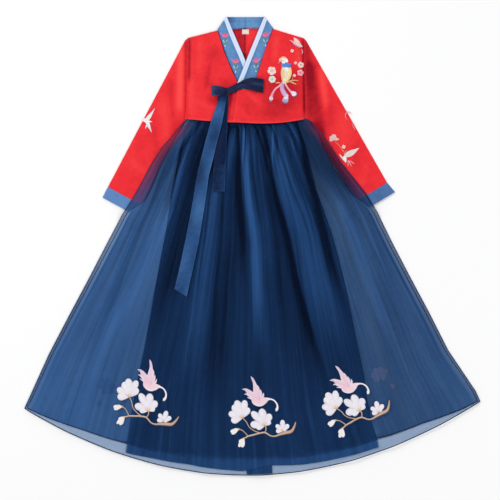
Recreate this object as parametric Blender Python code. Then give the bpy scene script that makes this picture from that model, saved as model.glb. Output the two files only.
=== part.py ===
"""A child's hanbok laid out flat, face up: a red jacket over a gathered navy skirt, tied with a ribbon.

The garment lies on the plane z = 0 with its neck towards +Y and its front facing +Z. The origin is on
that plane, at the centre of the garment's outline. Sizes below are in millimetres; make_object turns
them into Blender's metres. "Left" and "right" are the wearer's for the jacket's fronts, and the side on
which a piece lies (-X left, +X right) for everything else.
"""

import math
from collections import namedtuple

import bmesh
import bpy
import numpy as np

MM = 0.001

# Cloth
JACKET_WALL = 1.2
SKIRT_WALL = 1.0
RIBBON_WALL = 1.2
STRIP_WALL = 1.0
LABEL_WALL = 0.6
SEAM = 0.3  # gap between two pieces where they are sewn

# Jacket outline
BACK_SEAM_X = -16.0
JACKET_LEFT = -157.5
JACKET_RIGHT = 126.5
SHOULDER_LEFT = (-154.0, 498.0)
SHOULDER_RIGHT = (124.0, 497.0)
NECK_LEFT = (-83.0, 516.5)
NECK_RIGHT = (49.3, 520.0)
NECK_BACK_Y = 520.7
COLLAR_TOP_Y = 548.0
HEM_SIDE_Y = 306.0
HEM_DROP = 14.0  # how far the middle of the jacket's hem hangs below its corners
FRONT_LAP = 3.0  # height that the upper front gains where it lies over the other front and its collar

# Sleeves
SLEEVE_EDGE = 2.7  # height of the folded edges
SLEEVE_CROWN = 5.0  # height of the middle
SLEEVE_COLUMNS = 11  # points across the upper side
SLEEVE_WIDTH = 130.0  # across the flattened tube, for the width of its troughs
TUBE_CORNER = 1.6  # width of a flattened tube's bevelled edge

# Skirt layers, as heights of each layer's underside above what the skirt lies on
LINING_BACK_Z = SKIRT_WALL + 0.5
LINING_FRONT_Z = LINING_BACK_Z + SKIRT_WALL + 0.6
INNER_FRONT_Z = LINING_FRONT_Z + SKIRT_WALL + 0.6
OVERLAY_FRONT_Z = INNER_FRONT_Z + SKIRT_WALL + 0.5
OVERLAY_HEM_Z = 5.3
LINING_INSET = 14.0
LINING_HEM_SHORT = 0.9  # part of the last row's depth by which the lining is shorter than the overlay
INNER_HEM_SHORT = 0.45
INNER_COLUMNS = 13
SIDE_COLUMNS = (26, 40, 56, 74)  # distances from the skirt's side at which all its layers share a column

# Collar
COLLAR_WALL = 1.2
FOLD_RADIUS = 0.8  # of the collar's middle surface where it folds over at each side of the neck
STRIP_GAP = 0.4
COLLAR_BACK_Z = STRIP_WALL + STRIP_GAP + COLLAR_WALL / 2
STRIP_WIDTH = 11.0

# How high the jacket's fronts lie over the back, the waistband and the skirt, at heights up the garment,
# and how wide the soft turn is from there down to each side seam
Level = namedtuple("Level", "y height")
FRONT_RISE = [
    Level(292, 9.4),
    Level(345, 9.0),
    Level(405, 8.4),
    Level(440, 5.4),
    Level(480, 2.0),
    Level(505, 0.4),
    Level(520, 0.0),
]
FRONT_SOFT = [Level(370, 5), Level(440, 14)]
NECK_RISE = 1.4  # extra height where the fronts lie over the collar's back

# The skirt over each sleeve's inner edge: how far past the edge it stays up, how wide its fall is, and
# how high it lies, at heights up the garment
SleeveRest = namedtuple("SleeveRest", "y margin fall height")
OVER_SLEEVE = [
    SleeveRest(60, 14, 30, 5.4),
    SleeveRest(150, 12, 28, 5.4),
    SleeveRest(230, 12, 20, 5.3),
    SleeveRest(280, 12, 16, 4.5),
    SleeveRest(302, 3, 7, 4.2),
]

# The front overlay's underside over the layers below it, at distances in from the skirt's side
Stack = namedtuple("Stack", "edge height")
OVERLAY_STACK = [
    Stack(0, SKIRT_WALL + SEAM),
    Stack(5, 2.9),
    Stack(11, 4.7),
    Stack(14, 5.1),
    Stack(26, OVERLAY_FRONT_Z),
]

# One row for each cross-line of a panel: its left end, its right end, and how far its middle hangs down
Row = namedtuple("Row", "left_x left_y right_x right_y sag")

# A soft fold of the skirt, from its waist (0 left, 1 right) to its hem, with its half-width at each end
SkirtFold = namedtuple("SkirtFold", "waist hem waist_half hem_half height")

# A soft trough along a line on a sleeve: part of the length and of the width where it starts and ends
Trough = namedtuple("Trough", "length_0 width_0 length_1 width_1 half depth")

SKIRT = [
    Row(-143, 345, 113, 345, 0),
    Row(-148, 326, 117, 326, 8),
    Row(-152.5, 307, 120.5, 307, 15),
    Row(-163, 296, 139, 298, 18),
    Row(-190, 264, 166, 268, 24),
    Row(-215, 236, 188, 237, 30),
    Row(-240, 198, 214, 197, 38),
    Row(-265, 150, 243, 161, 46),
    Row(-287, 111, 271, 126, 54),
    Row(-312, 73, 300, 78, 64),
    Row(-352, -3, 336, 5, 82),
    Row(-392, -80, 377, -74, 100),
    Row(-440, -170, 423, -160, 120),
    Row(-487, -260, 469, -251, 140),
    Row(-535, -366, 535, -349, 162),
    Row(-546, -390, 546, -373, 168),
]

# The inner front panel's straight side edges, at heights down the skirt
InnerEdge = namedtuple("InnerEdge", "y left_x right_x")
INNER_EDGES = [
    InnerEdge(-500, -301, 308),
    InnerEdge(-350, -272, 280),
    InnerEdge(-240, -247, 260),
    InnerEdge(-110, -219, 235),
    InnerEdge(0, -198, 193),
    InnerEdge(140, -192, 149),
    InnerEdge(236, -172, 128),
    InnerEdge(290, -134, 100),
    InnerEdge(345, -112, 82),
]

SKIRT_FOLDS = [
    SkirtFold(0.06, 0.09, 6, 30, 3.5),
    SkirtFold(0.15, 0.19, 7, 32, 4.5),
    SkirtFold(0.25, 0.30, 7, 28, 5.0),
    SkirtFold(0.33, 0.40, 7, 30, 6.0),
    SkirtFold(0.50, 0.52, 8, 28, 7.5),
    SkirtFold(0.62, 0.60, 6, 26, 5.0),
    SkirtFold(0.73, 0.72, 8, 32, 7.0),
    SkirtFold(0.84, 0.81, 7, 30, 5.5),
    SkirtFold(0.94, 0.91, 6, 30, 3.5),
]

FRONT_LEFT = [
    Row(-46.4, 296.6, 126.5, 306, 8),
    Row(-42, 325, 126.5, 332, 4),
    Row(-37.5, 352, 126.2, 358, 0),
    Row(-36.5, 371, 126.1, 380, 0),
    Row(0.4, 374.6, 126, 388, 0),
    Row(8.9, 398, 125.6, 410, 0),
    Row(17.9, 427, 125.2, 434, 0),
    Row(30, 466, 124.8, 460, 0),
    Row(41.5, 497, 124.4, 482, 0),
    Row(50.6, 519.2, 124, 497, 0),
]

FRONT_RIGHT = [
    Row(-157.5, 306, 30, 293.5, 3),
    Row(-157, 332, 30, 322, 0),
    Row(-156.5, 352, 27, 346, 0),
    Row(-156.3, 368, -25, 366.5, 0),
    Row(-156, 388, -34, 388, 0),
    Row(-155.6, 414, -46, 412, 0),
    Row(-155.2, 440, -58.8, 442, 0),
    Row(-154.8, 462, -69, 468, 0),
    Row(-154.4, 481, -76.3, 493, 0),
    Row(-154, 498, -84.2, 515.6, 0),
]

# Collar: each row runs across the band, from its free inner edge to the edge that is sewn on
COLLAR_UNDER = [
    Row(8, 383, -24, 370, 0),
    Row(-9, 424, -44, 412, 0),
    Row(-22.6, 457.5, -57.7, 443, 0),
    Row(-33.5, 483, -67, 468, 0),
    Row(-46, 512, -75, 494, 0),
    Row(-60.8, COLLAR_TOP_Y, *NECK_LEFT, 0),
]
COLLAR_BACK = [
    Row(-39, COLLAR_TOP_Y, -50, 519.5, 0),
    Row(-16.4, COLLAR_TOP_Y, -16.4, 521, 0),
    Row(6, COLLAR_TOP_Y, 17, 521, 0),
]
COLLAR_OVER = [
    Row(28, COLLAR_TOP_Y, *NECK_RIGHT, 0),
    Row(14, 514.5, 42.5, 502, 0),
    Row(0, 479.3, 29.5, 466, 0),
    Row(-15.7, 440, 17.5, 427.5, 0),
    Row(-26, 413.5, 8.5, 399, 0),
    Row(-36, 388, 0, 375.5, 0),
]

# Sleeves and cuffs: outer (folded) edge, then inner (seamed) edge
SLEEVE_LEFT = [
    Row(-154.6, 497.8, -157.9, 308, 0),
    Row(-162, 491, -162.7, 298, 0),
    Row(-195.5, 427, -179.3, 264, 0),
    Row(-229, 363.5, -195.4, 231, 0),
    Row(-262.5, 300, -212, 197, 0),
    Row(-296, 236.5, -228.6, 163, 0),
    Row(-323, 185, -245.2, 129, 0),
    Row(-346.4, 140.6, -261.7, 95.3, 0),
]
CUFF_LEFT = [
    Row(-346.6, 140.3, -261.9, 95.0, 0),
    Row(-353, 128, -268.5, 82.5, 0),
    Row(-359.4, 115.2, -275, 70, 0),
]
SLEEVE_RIGHT = [
    Row(124.6, 496.8, 127.9, 309, 0),
    Row(130, 490, 133.6, 299, 0),
    Row(165, 428.5, 152.9, 266, 0),
    Row(200, 367, 171.6, 234, 0),
    Row(235, 306, 190.3, 202, 0),
    Row(269, 246, 209, 170, 0),
    Row(297, 197, 227.7, 138, 0),
    Row(323, 151.4, 247, 105, 0),
]
CUFF_RIGHT = [
    Row(323.2, 151.1, 247.2, 104.7, 0),
    Row(332.7, 139.8, 254, 92, 0),
    Row(342.4, 128.6, 261, 80, 0),
]
SLEEVE_TROUGHS = [
    Trough(0.02, 0.75, 0.30, 0.45, 9, 1.3),
    Trough(0.02, 0.40, 0.24, 0.30, 8, 0.9),
    Trough(0.35, 0.75, 0.75, 0.55, 12, 0.8),
]

# The tie: each row runs across the ribbon
ROOT = [
    Row(-97, 382.5, -97, 358.5, 0),
    Row(-84, 382, -84, 358, 0),
    Row(-71, 379.5, -71, 357.5, 0),
    Row(-62, 377, -61, 357.5, 0),
]
TAIL_SHORT = [
    Row(-82, 356, -56.5, 356, 0),
    Row(-84, 320, -58, 320, 0),
    Row(-86, 296, -59.5, 296, 0),
    Row(-88, 270, -60.5, 270, 0),
    Row(-90, 235, -62, 235, 0),
    Row(-92, 200, -63, 200, 0),
    Row(-94, 165, -64.5, 165, 0),
    Row(-95, 129, -66, 129, 0),
]
TAIL_LONG = [
    Row(-77, 356, -58, 356, 0),
    Row(-91, 320, -67, 320, 0),
    Row(-101, 290, -73, 290, 0),
    Row(-112, 250, -84, 248, 0),
    Row(-122, 210, -94, 207, 0),
    Row(-131, 172, -104, 168, 0),
    Row(-140, 120, -111, 115, 0),
    Row(-149, 70, -119, 64, 0),
    Row(-159, 18, -128, 10, 0),
    Row(-171, -40, -141, -50, 0),
    Row(-186, -104, -157, -122, 0),
]
KNOT = [
    Row(-59, 376, -59, 360, 0),
    Row(-46, 382, -46, 364, 0),
    Row(-36, 387.5, -34, 370, 0),
    Row(-27.5, 392, -26.5, 376.5, 0),
]
KNOT_Z = (13.8, 15.2, 16.2, 16.2)  # its underside, over the ribbon's root, then the collar
KNOT_EDGE = 1.4  # height of its edges
KNOT_SWELL = 3.2  # how much higher its middle is
LOOP = [
    Row(-25.5, 393, -24.5, 377, 0),
    Row(-16, 396.5, -15, 374, 0),
    Row(-4, 399.5, -3, 371, 0),
    Row(10, 399.5, 11, 367, 0),
    Row(25.5, 397, 24, 365, 0),
]
LOOP_Z = 16.2
LOOP_RADIUS = 1.7
LOOP_PUFF = 1.6  # how much the loop's upper side swells
RIBBON_REACH = (8, 9)  # how far along and aside a ribbon clears what it lies on
LONG_TAIL_LIFT = RIBBON_WALL + 0.9  # of the long tail where it lies over the short one
BEND_STEPS = 4  # steps round the loop's and the collar's folds

WAISTBAND_TOP_Y = 405.0
WAISTBAND_LEFT = (-145.0, -143.3)
WAISTBAND_RIGHT = (115.0, 113.3)
WAISTBAND_MIDDLE_Y = 375.0
WAISTBAND_Z = 1.6
WAISTBAND_EDGE = 2.6
WAISTBAND_HEIGHT = 6.6

LABEL_X = (-24.8, -8.0)
LABEL_Y = (507.0, 519.0)

COLOURS = {
    "red": (0.62, 0.030, 0.040, 0.55),
    "cuff_blue": (0.10, 0.26, 0.50, 0.55),
    "collar_blue": (0.14, 0.27, 0.48, 0.55),
    "white": (0.72, 0.80, 0.90, 0.60),
    "label": (0.85, 0.78, 0.66, 0.70),
    "ribbon_navy": (0.022, 0.055, 0.16, 0.40),
    "organza_navy": (0.018, 0.060, 0.18, 0.35),
    "inner_navy": (0.010, 0.030, 0.09, 0.45),
    "lining_blue": (0.07, 0.18, 0.34, 0.50),
}


def smooth(x):
    """0 below 0, 1 above 1, eased between."""
    x = np.clip(x, 0, 1)
    return x * x * (3 - 2 * x)


# ---------------------------------------------------------------- making solids


def cloth_material(colour):
    material = bpy.data.materials.get(colour)
    if material:
        return material
    material = bpy.data.materials.new(colour)
    material.use_nodes = True
    shader = material.node_tree.nodes["Principled BSDF"]
    red, green, blue, roughness = COLOURS[colour]
    shader.inputs["Base Color"].default_value = (red, green, blue, 1)
    shader.inputs["Roughness"].default_value = roughness
    shader.inputs["Metallic"].default_value = 0
    return material


def make_object(name, points, faces, colour, parent):
    """A closed mesh object, with its origin at the middle of its own underside."""
    points = np.asarray(points, float) * MM
    origin = (points.min(axis=0) + points.max(axis=0)) / 2
    origin[2] = points[:, 2].min()
    mesh = bpy.data.meshes.new(name)
    mesh.from_pydata((points - origin).tolist(), [], faces)
    shape = bmesh.new()
    shape.from_mesh(mesh)
    bmesh.ops.recalc_face_normals(shape, faces=shape.faces)
    shape.to_mesh(mesh)
    shape.free()
    mesh.shade_smooth()
    mesh.set_sharp_from_angle(angle=math.radians(50))
    mesh.materials.append(cloth_material(colour))
    piece = bpy.data.objects.new(name, mesh)
    bpy.context.scene.collection.objects.link(piece)
    piece.location = origin
    piece.parent = parent
    return piece


def closed_sheet(name, low, high, colour, parent):
    """A solid between two grids of points of the same rows and columns."""
    rows, columns = low.shape[:2]
    count = rows * columns
    faces = []
    for row in range(rows - 1):
        for column in range(columns - 1):
            a = row * columns + column
            c = a + columns
            faces.append((a, a + 1, c + 1, c))
            faces.append((count + a, count + c, count + c + 1, count + a + 1))
    rim = list(range(columns))
    rim += [row * columns + columns - 1 for row in range(1, rows)]
    rim += [(rows - 1) * columns + column for column in range(columns - 2, -1, -1)]
    rim += [row * columns for row in range(rows - 2, 0, -1)]
    for here, after in zip(rim, rim[1:] + rim[:1]):
        faces.append((here, count + here, count + after, after))
    points = np.concatenate([low.reshape(-1, 3), high.reshape(-1, 3)])
    return make_object(name, points, faces, colour, parent)


def cloth_sheet(name, low, wall, colour, parent):
    """A wall of cloth over the grid of points on its underside, thickened across its slope."""
    along = np.gradient(low, axis=0)
    across = np.gradient(low, axis=1)
    normal = np.cross(across, along)
    normal /= np.linalg.norm(normal, axis=2, keepdims=True)
    high = low.copy()
    high[..., 2] += wall / np.clip(np.abs(normal[..., 2]), 0.45, 1)
    return closed_sheet(name, low, high, colour, parent)


def strip(name, sections, wall, colour, parent):
    """A band through sections, each of its two edge points and the direction its outer face looks."""
    points = []
    for first, second, facing in sections:
        offset = np.asarray(facing, float) * wall / 2
        points += [first - offset, second - offset, second + offset, first + offset]
    faces = [(0, 1, 2, 3)]
    last = 4 * (len(sections) - 1)
    for start in range(0, last, 4):
        for side in range(4):
            after = (side + 1) % 4
            faces.append((start + side, start + 4 + side, start + 4 + after, start + after))
    faces.append((last + 3, last + 2, last + 1, last))
    return make_object(name, points, faces, colour, parent)


def flat_tube(name, rings, wall, colour, parent):
    """A flattened tube with both ends open. Each ring gives its top profile from edge to edge."""
    points = []
    for left, right, heights in rings:
        width = math.dist(left, right)
        across = (np.asarray(right) - left) / width
        last = len(heights) - 1
        for inset in (0.0, wall):
            span = width - 2 * inset
            part = np.linspace(0, 1, last + 1)
            part[1], part[-2] = TUBE_CORNER / width, 1 - TUBE_CORNER / width
            top = [
                (*(left + across * (inset + part[i] * span)), heights[i] - inset)
                for i in range(1, last)
            ]
            bottom = [
                (*(left + across * (inset + part[i] * span)), inset)
                for i in range(last - 1, 0, -1)
            ]
            start = (*(left + across * inset), heights[0] / 2)
            end = (*(left + across * (width - inset)), heights[-1] / 2)
            points += [start, *top, end, *bottom]
    size = 2 * (len(rings[0][2]) - 1)
    faces = []
    for ring in range(len(rings) - 1):
        for skin in range(2):
            here = (2 * ring + skin) * size
            there = here + 2 * size
            for i in range(size):
                j = (i + 1) % size
                quad = (here + i, here + j, there + j, there + i)
                faces.append(quad if skin else quad[::-1])
    for ring in (0, len(rings) - 1):
        outer, inner = 2 * ring * size, (2 * ring + 1) * size
        for i in range(size):
            j = (i + 1) % size
            faces.append((outer + i, outer + j, inner + j, inner + i))
    return make_object(name, points, faces, colour, parent)


# ---------------------------------------------------------------- shared forms


def column_at(table, place, column):
    """A column of a table at a value of its first column, straight between rows."""
    table = np.asarray(table, float)
    return np.interp(place, table[:, 0], table[:, column])


def rows_at(table, place):
    """The table's columns at fractional row numbers, straight between rows."""
    table = np.asarray(table, float)
    numbers = np.arange(len(table))
    return [np.interp(place, numbers, table[:, column]) for column in range(5)]


def row_points(table, place, part):
    """Plan points at fractional row numbers and at a part, 0 to 1, of each row's width."""
    left_x, left_y, right_x, right_y, sag = rows_at(table, place)
    x = left_x + (right_x - left_x) * part
    y = left_y + (right_y - left_y) * part - sag * (1 - (2 * part - 1) ** 2)
    return x, y


def panel_grid(table, near_left, near_right, count, last_short=0.0):
    """Points of a panel as x, y, distance from its left side and distance from its right side.

    Columns lie at set distances from the sides, with even ones between, and last_short draws the last
    row back by that part of its depth.
    """
    points = []
    for number, row in enumerate(table):
        place = number - (last_short if number == len(table) - 1 else 0.0)
        width = math.dist(row[:2], row[2:4])
        first = np.asarray(near_left) / width
        final = 1 - np.asarray(near_right)[::-1] / width
        middle = np.linspace(first[-1], final[0], count + 2)[1:-1]
        part = np.concatenate([first, middle, final])
        x, y = row_points(table, place, part)
        points.append(np.stack([x, y, part * width, (1 - part) * width], axis=-1))
    return np.array(points)


def jacket_hem_y(x):
    half = (JACKET_RIGHT - JACKET_LEFT) / 2
    middle = (JACKET_RIGHT + JACKET_LEFT) / 2
    return HEM_SIDE_Y - HEM_DROP * (1 - np.clip((x - middle) / half, -1, 1) ** 2)


def front_underside(x, y):
    """Height of the underside of the jacket's fronts, which lie on the back and over the skirt."""
    rise = column_at(FRONT_RISE, y, 1)
    side = np.maximum(np.minimum(x - JACKET_LEFT, JACKET_RIGHT - x), 0)
    soft = column_at(FRONT_SOFT, y, 1)
    neck = NECK_RISE * smooth((98 - np.abs(x - BACK_SEAM_X)) / 30) * smooth((y - 400) / 60)
    return JACKET_WALL + SEAM + rise * (1 - np.exp(-side / soft)) + neck


def front_lap(x, y):
    """Extra height of the upper front where it lies over the other one."""
    return FRONT_LAP * smooth((60 - x) / 25) * smooth((500 - y) / 40)


def outside(x, y, corners):
    """Distance outside a convex outline, negative inside it."""
    corners = np.asarray(corners, float)
    middle = corners.mean(axis=0)
    reach = np.full(np.shape(x), -1e9)
    for here, after in zip(corners, np.roll(corners, -1, axis=0)):
        edge = (after - here) / math.dist(here, after)
        normal = np.array([edge[1], -edge[0]])
        normal *= -np.sign(normal @ (middle - here))
        reach = np.maximum(reach, (x - here[0]) * normal[0] + (y - here[1]) * normal[1])
    return reach


def sleeve_outline(sleeve, cuff):
    return [sleeve[0][:2], sleeve[1][:2], cuff[-1][:2], cuff[-1][2:4], sleeve[0][2:4]]


def skirt_rest(x, y):
    """Height of what the skirt lies on: the floor, the jacket's back, and the sleeves' inner edges."""
    height = (JACKET_WALL + 0.4) * smooth((y - jacket_hem_y(x) + 34) / 26)
    margin, fall, over_sleeve = (column_at(OVER_SLEEVE, y, column) for column in (1, 2, 3))
    for sleeve, cuff in ((SLEEVE_LEFT, CUFF_LEFT), (SLEEVE_RIGHT, CUFF_RIGHT)):
        reach = outside(x, y, sleeve_outline(sleeve, cuff))
        height = np.maximum(height, over_sleeve * smooth((margin + fall - reach) / fall))
    return height


def skirt_folds(part, place, width):
    """Height of the overlay's folds at a part of the width and a fractional row of the skirt."""
    depth = place / (len(SKIRT) - 1)
    grown = np.interp(place, (0, 2, 3, 5, 8, 14, 15), (0.05, 0.08, 0.3, 0.7, 1, 1, 0.75))
    height = np.zeros(np.shape(part))
    for fold in SKIRT_FOLDS:
        centre = fold.waist + (fold.hem - fold.waist) * depth
        half = fold.waist_half + (fold.hem_half - fold.waist_half) * depth
        height += fold.height * np.exp(-(((part - centre) * width / half) ** 2))
    return height * grown


def overlay_front_z(x, y, edge, part, place, width):
    """Height of the underside of the skirt's front overlay; edge is the distance from its side."""
    stack = column_at(OVERLAY_STACK, edge, 1)
    hem = np.interp(place, (14, 15), (OVERLAY_FRONT_Z, OVERLAY_HEM_Z))
    inner = smooth(edge / 50)
    return skirt_rest(x, y) + np.minimum(stack, hem) + skirt_folds(part, place, width) * inner


def skirt_place(x, y):
    """Fractional row and part of the width of the skirt at plan points, by halving."""
    low, high = np.zeros(np.shape(x)), np.full(np.shape(x), len(SKIRT) - 1.0)
    for _ in range(30):
        middle = (low + high) / 2
        left_x, _, right_x, _, _ = rows_at(SKIRT, middle)
        part = np.clip((x - left_x) / (right_x - left_x), 0, 1)
        above = row_points(SKIRT, middle, part)[1] > y
        low, high = np.where(above, middle, low), np.where(above, high, middle)
    return middle, part


def front_top(x, y):
    """Height of the upper side of what a ribbon lies on: the lower front, or the skirt below it."""
    place, part = skirt_place(x, y)
    left_x, _, right_x, _, _ = rows_at(SKIRT, place)
    width = right_x - left_x
    edge = np.minimum(part, 1 - part) * width
    skirt = overlay_front_z(x, y, edge, part, place, width) + SKIRT_WALL + 0.2
    jacket = front_underside(x, y) + JACKET_WALL + 0.2
    return np.where(y > jacket_hem_y(x) - 4, jacket, skirt)


# ---------------------------------------------------------------- the pieces


def make_jacket_back(parent):
    """Two flat halves, seamed down the middle of the back, from the hem up to the shoulder and neck."""
    for name, side_x, shoulder, neck, sign in (
        ("jacket_back_left", JACKET_LEFT, SHOULDER_LEFT, NECK_LEFT, -1),
        ("jacket_back_right", JACKET_RIGHT, SHOULDER_RIGHT, NECK_RIGHT, 1),
    ):
        seam_x = BACK_SEAM_X + sign * SEAM / 2
        shoulder_part = np.linspace(0, 1, 4)[:, None]
        upper = np.concatenate([
            shoulder + (np.array(neck) - shoulder) * shoulder_part,
            neck + (np.array([seam_x, NECK_BACK_Y]) - neck) * shoulder_part[1:],
        ])
        hem_x = upper[:, 0].copy()
        hem_x[0] = side_x
        lower = np.stack([hem_x, jacket_hem_y(hem_x)], axis=-1)
        part = np.linspace(1, 0, 4)[:, None, None]
        plan = lower + (upper - lower) * part
        if sign > 0:
            plan = plan[:, ::-1]
        low = np.concatenate([plan, np.zeros_like(plan[..., :1])], axis=-1)
        cloth_sheet(name, low, JACKET_WALL, "red", parent)


def make_jacket_fronts(parent):
    side = (0, 2, 7, 16, 36)
    grid = panel_grid(FRONT_LEFT[::-1], (0,), side, 6)
    x, y = grid[..., 0], grid[..., 1]
    z = front_underside(x, y) + front_lap(x, y)
    cloth_sheet("jacket_front_left", np.stack([x, y, z], axis=-1), JACKET_WALL, "red", parent)
    grid = panel_grid(FRONT_RIGHT[::-1], side, (0,), 6)
    x, y = grid[..., 0], grid[..., 1]
    low = np.stack([x, y, front_underside(x, y)], axis=-1)
    cloth_sheet("jacket_front_right", low, JACKET_WALL, "red", parent)


def sleeve_heights(length, start_flat, troughs):
    """Top profile across a sleeve at a part of its length."""
    part = np.linspace(0, 1, SLEEVE_COLUMNS)
    crown = SLEEVE_EDGE + (SLEEVE_CROWN - SLEEVE_EDGE) * start_flat * np.sin(math.pi * part) ** 0.6
    for trough in troughs:
        middle = trough.width_0 + (trough.width_1 - trough.width_0) * (
            (length - trough.length_0) / (trough.length_1 - trough.length_0)
        )
        inside = smooth((length - trough.length_0) / 0.06) * smooth((trough.length_1 - length) / 0.12)
        crown -= trough.depth * inside * np.exp(-(((part - middle) * SLEEVE_WIDTH / trough.half) ** 2))
    return np.maximum(crown, SLEEVE_EDGE)


def make_sleeves(parent):
    for name, sleeve, cuff in (
        ("left", SLEEVE_LEFT, CUFF_LEFT),
        ("right", SLEEVE_RIGHT, CUFF_RIGHT),
    ):
        rings = []
        for number, row in enumerate(sleeve):
            length = number / (len(sleeve) - 1)
            heights = sleeve_heights(length, smooth(number / 2), SLEEVE_TROUGHS)
            rings.append((np.array(row[:2]), np.array(row[2:4]), heights))
        flat_tube("sleeve_" + name, rings, JACKET_WALL, "red", parent)
        rings = [
            (np.array(row[:2]), np.array(row[2:4]), sleeve_heights(1, 1, ())) for row in cuff
        ]
        flat_tube("cuff_" + name, rings, JACKET_WALL, "cuff_blue", parent)


def at_height(point, z):
    return np.array([point[0], point[1], z])


def fold_sections(row, away, rising):
    """Sections of the collar round its fold at one side of the neck, between back and front."""
    sections = []
    for step in range(BEND_STEPS + 1):
        turn = math.pi * step / BEND_STEPS
        turn = turn if rising else math.pi - turn
        facing = np.array([*(away * math.sin(turn)), -math.cos(turn)])
        shift = np.array([0, 0, COLLAR_BACK_Z + FOLD_RADIUS]) + facing * FOLD_RADIUS
        sections.append((at_height(row[:2], 0) + shift, at_height(row[2:4], 0) + shift, facing))
    return sections


def collar_sections():
    """The band's middle surface, from its hidden end on the lower front, round the neck, to its
    end on the upper front, with the direction its outer face looks."""
    up = np.array([0.0, 0.0, 1.0])
    sections = []
    for row in COLLAR_UNDER[:-1]:
        ends = [at_height(end, front_underside(*end) + COLLAR_WALL / 2) for end in (row[:2], row[2:4])]
        sections.append((*ends, up))
    fold = COLLAR_UNDER[-1]
    across = np.array([fold.right_x - fold.left_x, fold.right_y - fold.left_y])
    away = np.array([across[1], -across[0]]) / np.linalg.norm(across)
    sections += fold_sections(fold, away, rising=False)
    for row in COLLAR_BACK:
        ends = [at_height(end, COLLAR_BACK_Z) for end in (row[:2], row[2:4])]
        sections.append((*ends, -up))
    fold = COLLAR_OVER[0]
    across = np.array([fold.right_x - fold.left_x, fold.right_y - fold.left_y])
    away = np.array([-across[1], across[0]]) / np.linalg.norm(across)
    sections += fold_sections(fold, away, rising=True)
    for row in COLLAR_OVER[1:]:
        ends = []
        for end in (row[:2], row[2:4]):
            z = front_underside(*end) + front_lap(*end) + COLLAR_WALL / 2
            ends.append(at_height(end, z))
        sections.append((*ends, up))
    return sections


def make_collar(parent):
    """The blue band, and the white strip laid along its outer face at the free edge."""
    sections = collar_sections()
    strip("collar", sections, COLLAR_WALL, "collar_blue", parent)
    out = COLLAR_WALL / 2 + STRIP_GAP + STRIP_WALL / 2
    laid = []
    for free, sewn, facing in sections:
        inner = free + (sewn - free) * STRIP_WIDTH / math.dist(free, sewn)
        laid.append((free + facing * out, inner + facing * out, facing))
    strip("collar_strip", laid, STRIP_WALL, "white", parent)


def make_label(parent):
    x, y = np.meshgrid(LABEL_X, LABEL_Y[::-1])
    low = np.stack([x, y, np.full_like(x, JACKET_WALL + SEAM)], axis=-1)
    high = low + (0, 0, LABEL_WALL)
    closed_sheet("neck_label", low, high, "label", parent)


def make_waistband(parent):
    part = np.linspace(0, 1, 9)
    swell = np.minimum(1, np.sin(math.pi * part) * 1.35) ** 0.7
    heights = WAISTBAND_EDGE + (WAISTBAND_HEIGHT - WAISTBAND_EDGE) * swell
    rings = []
    for y, left, right in (
        (WAISTBAND_TOP_Y, WAISTBAND_LEFT[0], WAISTBAND_RIGHT[0]),
        (WAISTBAND_MIDDLE_Y, WAISTBAND_LEFT[0] + 0.8, WAISTBAND_RIGHT[0] - 0.8),
        (SKIRT[0].left_y + SEAM, WAISTBAND_LEFT[1], WAISTBAND_RIGHT[1]),
    ):
        rings.append((np.array([left, y]), np.array([right, y]), heights))
    band = flat_tube("waistband", rings, SKIRT_WALL, "lining_blue", parent)
    band.location.z = WAISTBAND_Z * MM


def skirt_sheet(name, near, count, height, colour, parent, short=0.0):
    """One layer of the skirt over the skirt's rows, from the first of the near distances inwards."""
    near = (*near, *SIDE_COLUMNS)
    grid = panel_grid(SKIRT, near, near, count, short)
    x, y, left, right = (grid[..., column] for column in range(4))
    width = left + right
    place = np.arange(len(SKIRT), dtype=float)
    place[-1] -= short
    place = np.repeat(place[:, None], grid.shape[1], axis=1)
    z = height(x, y, np.minimum(left, right), left / width, place, width)
    cloth_sheet(name, np.stack([x, y, z], axis=-1), SKIRT_WALL, colour, parent)


def lining_front_z(x, y, edge, *_):
    seam = LINING_BACK_Z + SKIRT_WALL + SEAM
    return skirt_rest(x, y) + np.interp(edge, (LINING_INSET, 26), (seam, LINING_FRONT_Z))


def make_inner_front(parent):
    """The inner front panel, over the skirt's own rows between its straight side edges."""
    edges = np.array(INNER_EDGES, float)
    rows = []
    for number in range(len(SKIRT)):
        place = number - (INNER_HEM_SHORT if number == len(SKIRT) - 1 else 0)
        left_x, _, right_x, _, _ = rows_at(SKIRT, place)
        parts = []
        for side in (1, 2):
            part = 0.5
            for _ in range(12):
                _, y = row_points(SKIRT, place, part)
                part = (np.interp(y, edges[:, 0], edges[:, side]) - left_x) / (right_x - left_x)
            parts.append(part)
        x, y = row_points(SKIRT, place, np.linspace(*parts, INNER_COLUMNS))
        rows.append(np.stack([x, y, skirt_rest(x, y) + INNER_FRONT_Z], axis=-1))
    cloth_sheet("skirt_inner_front", np.array(rows), SKIRT_WALL, "inner_navy", parent)


def make_skirt(parent):
    skirt_sheet(
        "skirt_overlay_back",
        (0, LINING_INSET),
        6,
        lambda x, y, *_: skirt_rest(x, y),
        "organza_navy",
        parent,
    )
    skirt_sheet(
        "skirt_lining_back",
        (LINING_INSET,),
        6,
        lambda x, y, *_: skirt_rest(x, y) + LINING_BACK_Z,
        "lining_blue",
        parent,
        LINING_HEM_SHORT,
    )
    skirt_sheet(
        "skirt_lining_front",
        (LINING_INSET,),
        6,
        lining_front_z,
        "lining_blue",
        parent,
        LINING_HEM_SHORT,
    )
    make_inner_front(parent)
    skirt_sheet(
        "skirt_overlay_front",
        (0, 5, 11, LINING_INSET),
        34,
        overlay_front_z,
        "organza_navy",
        parent,
    )


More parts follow.
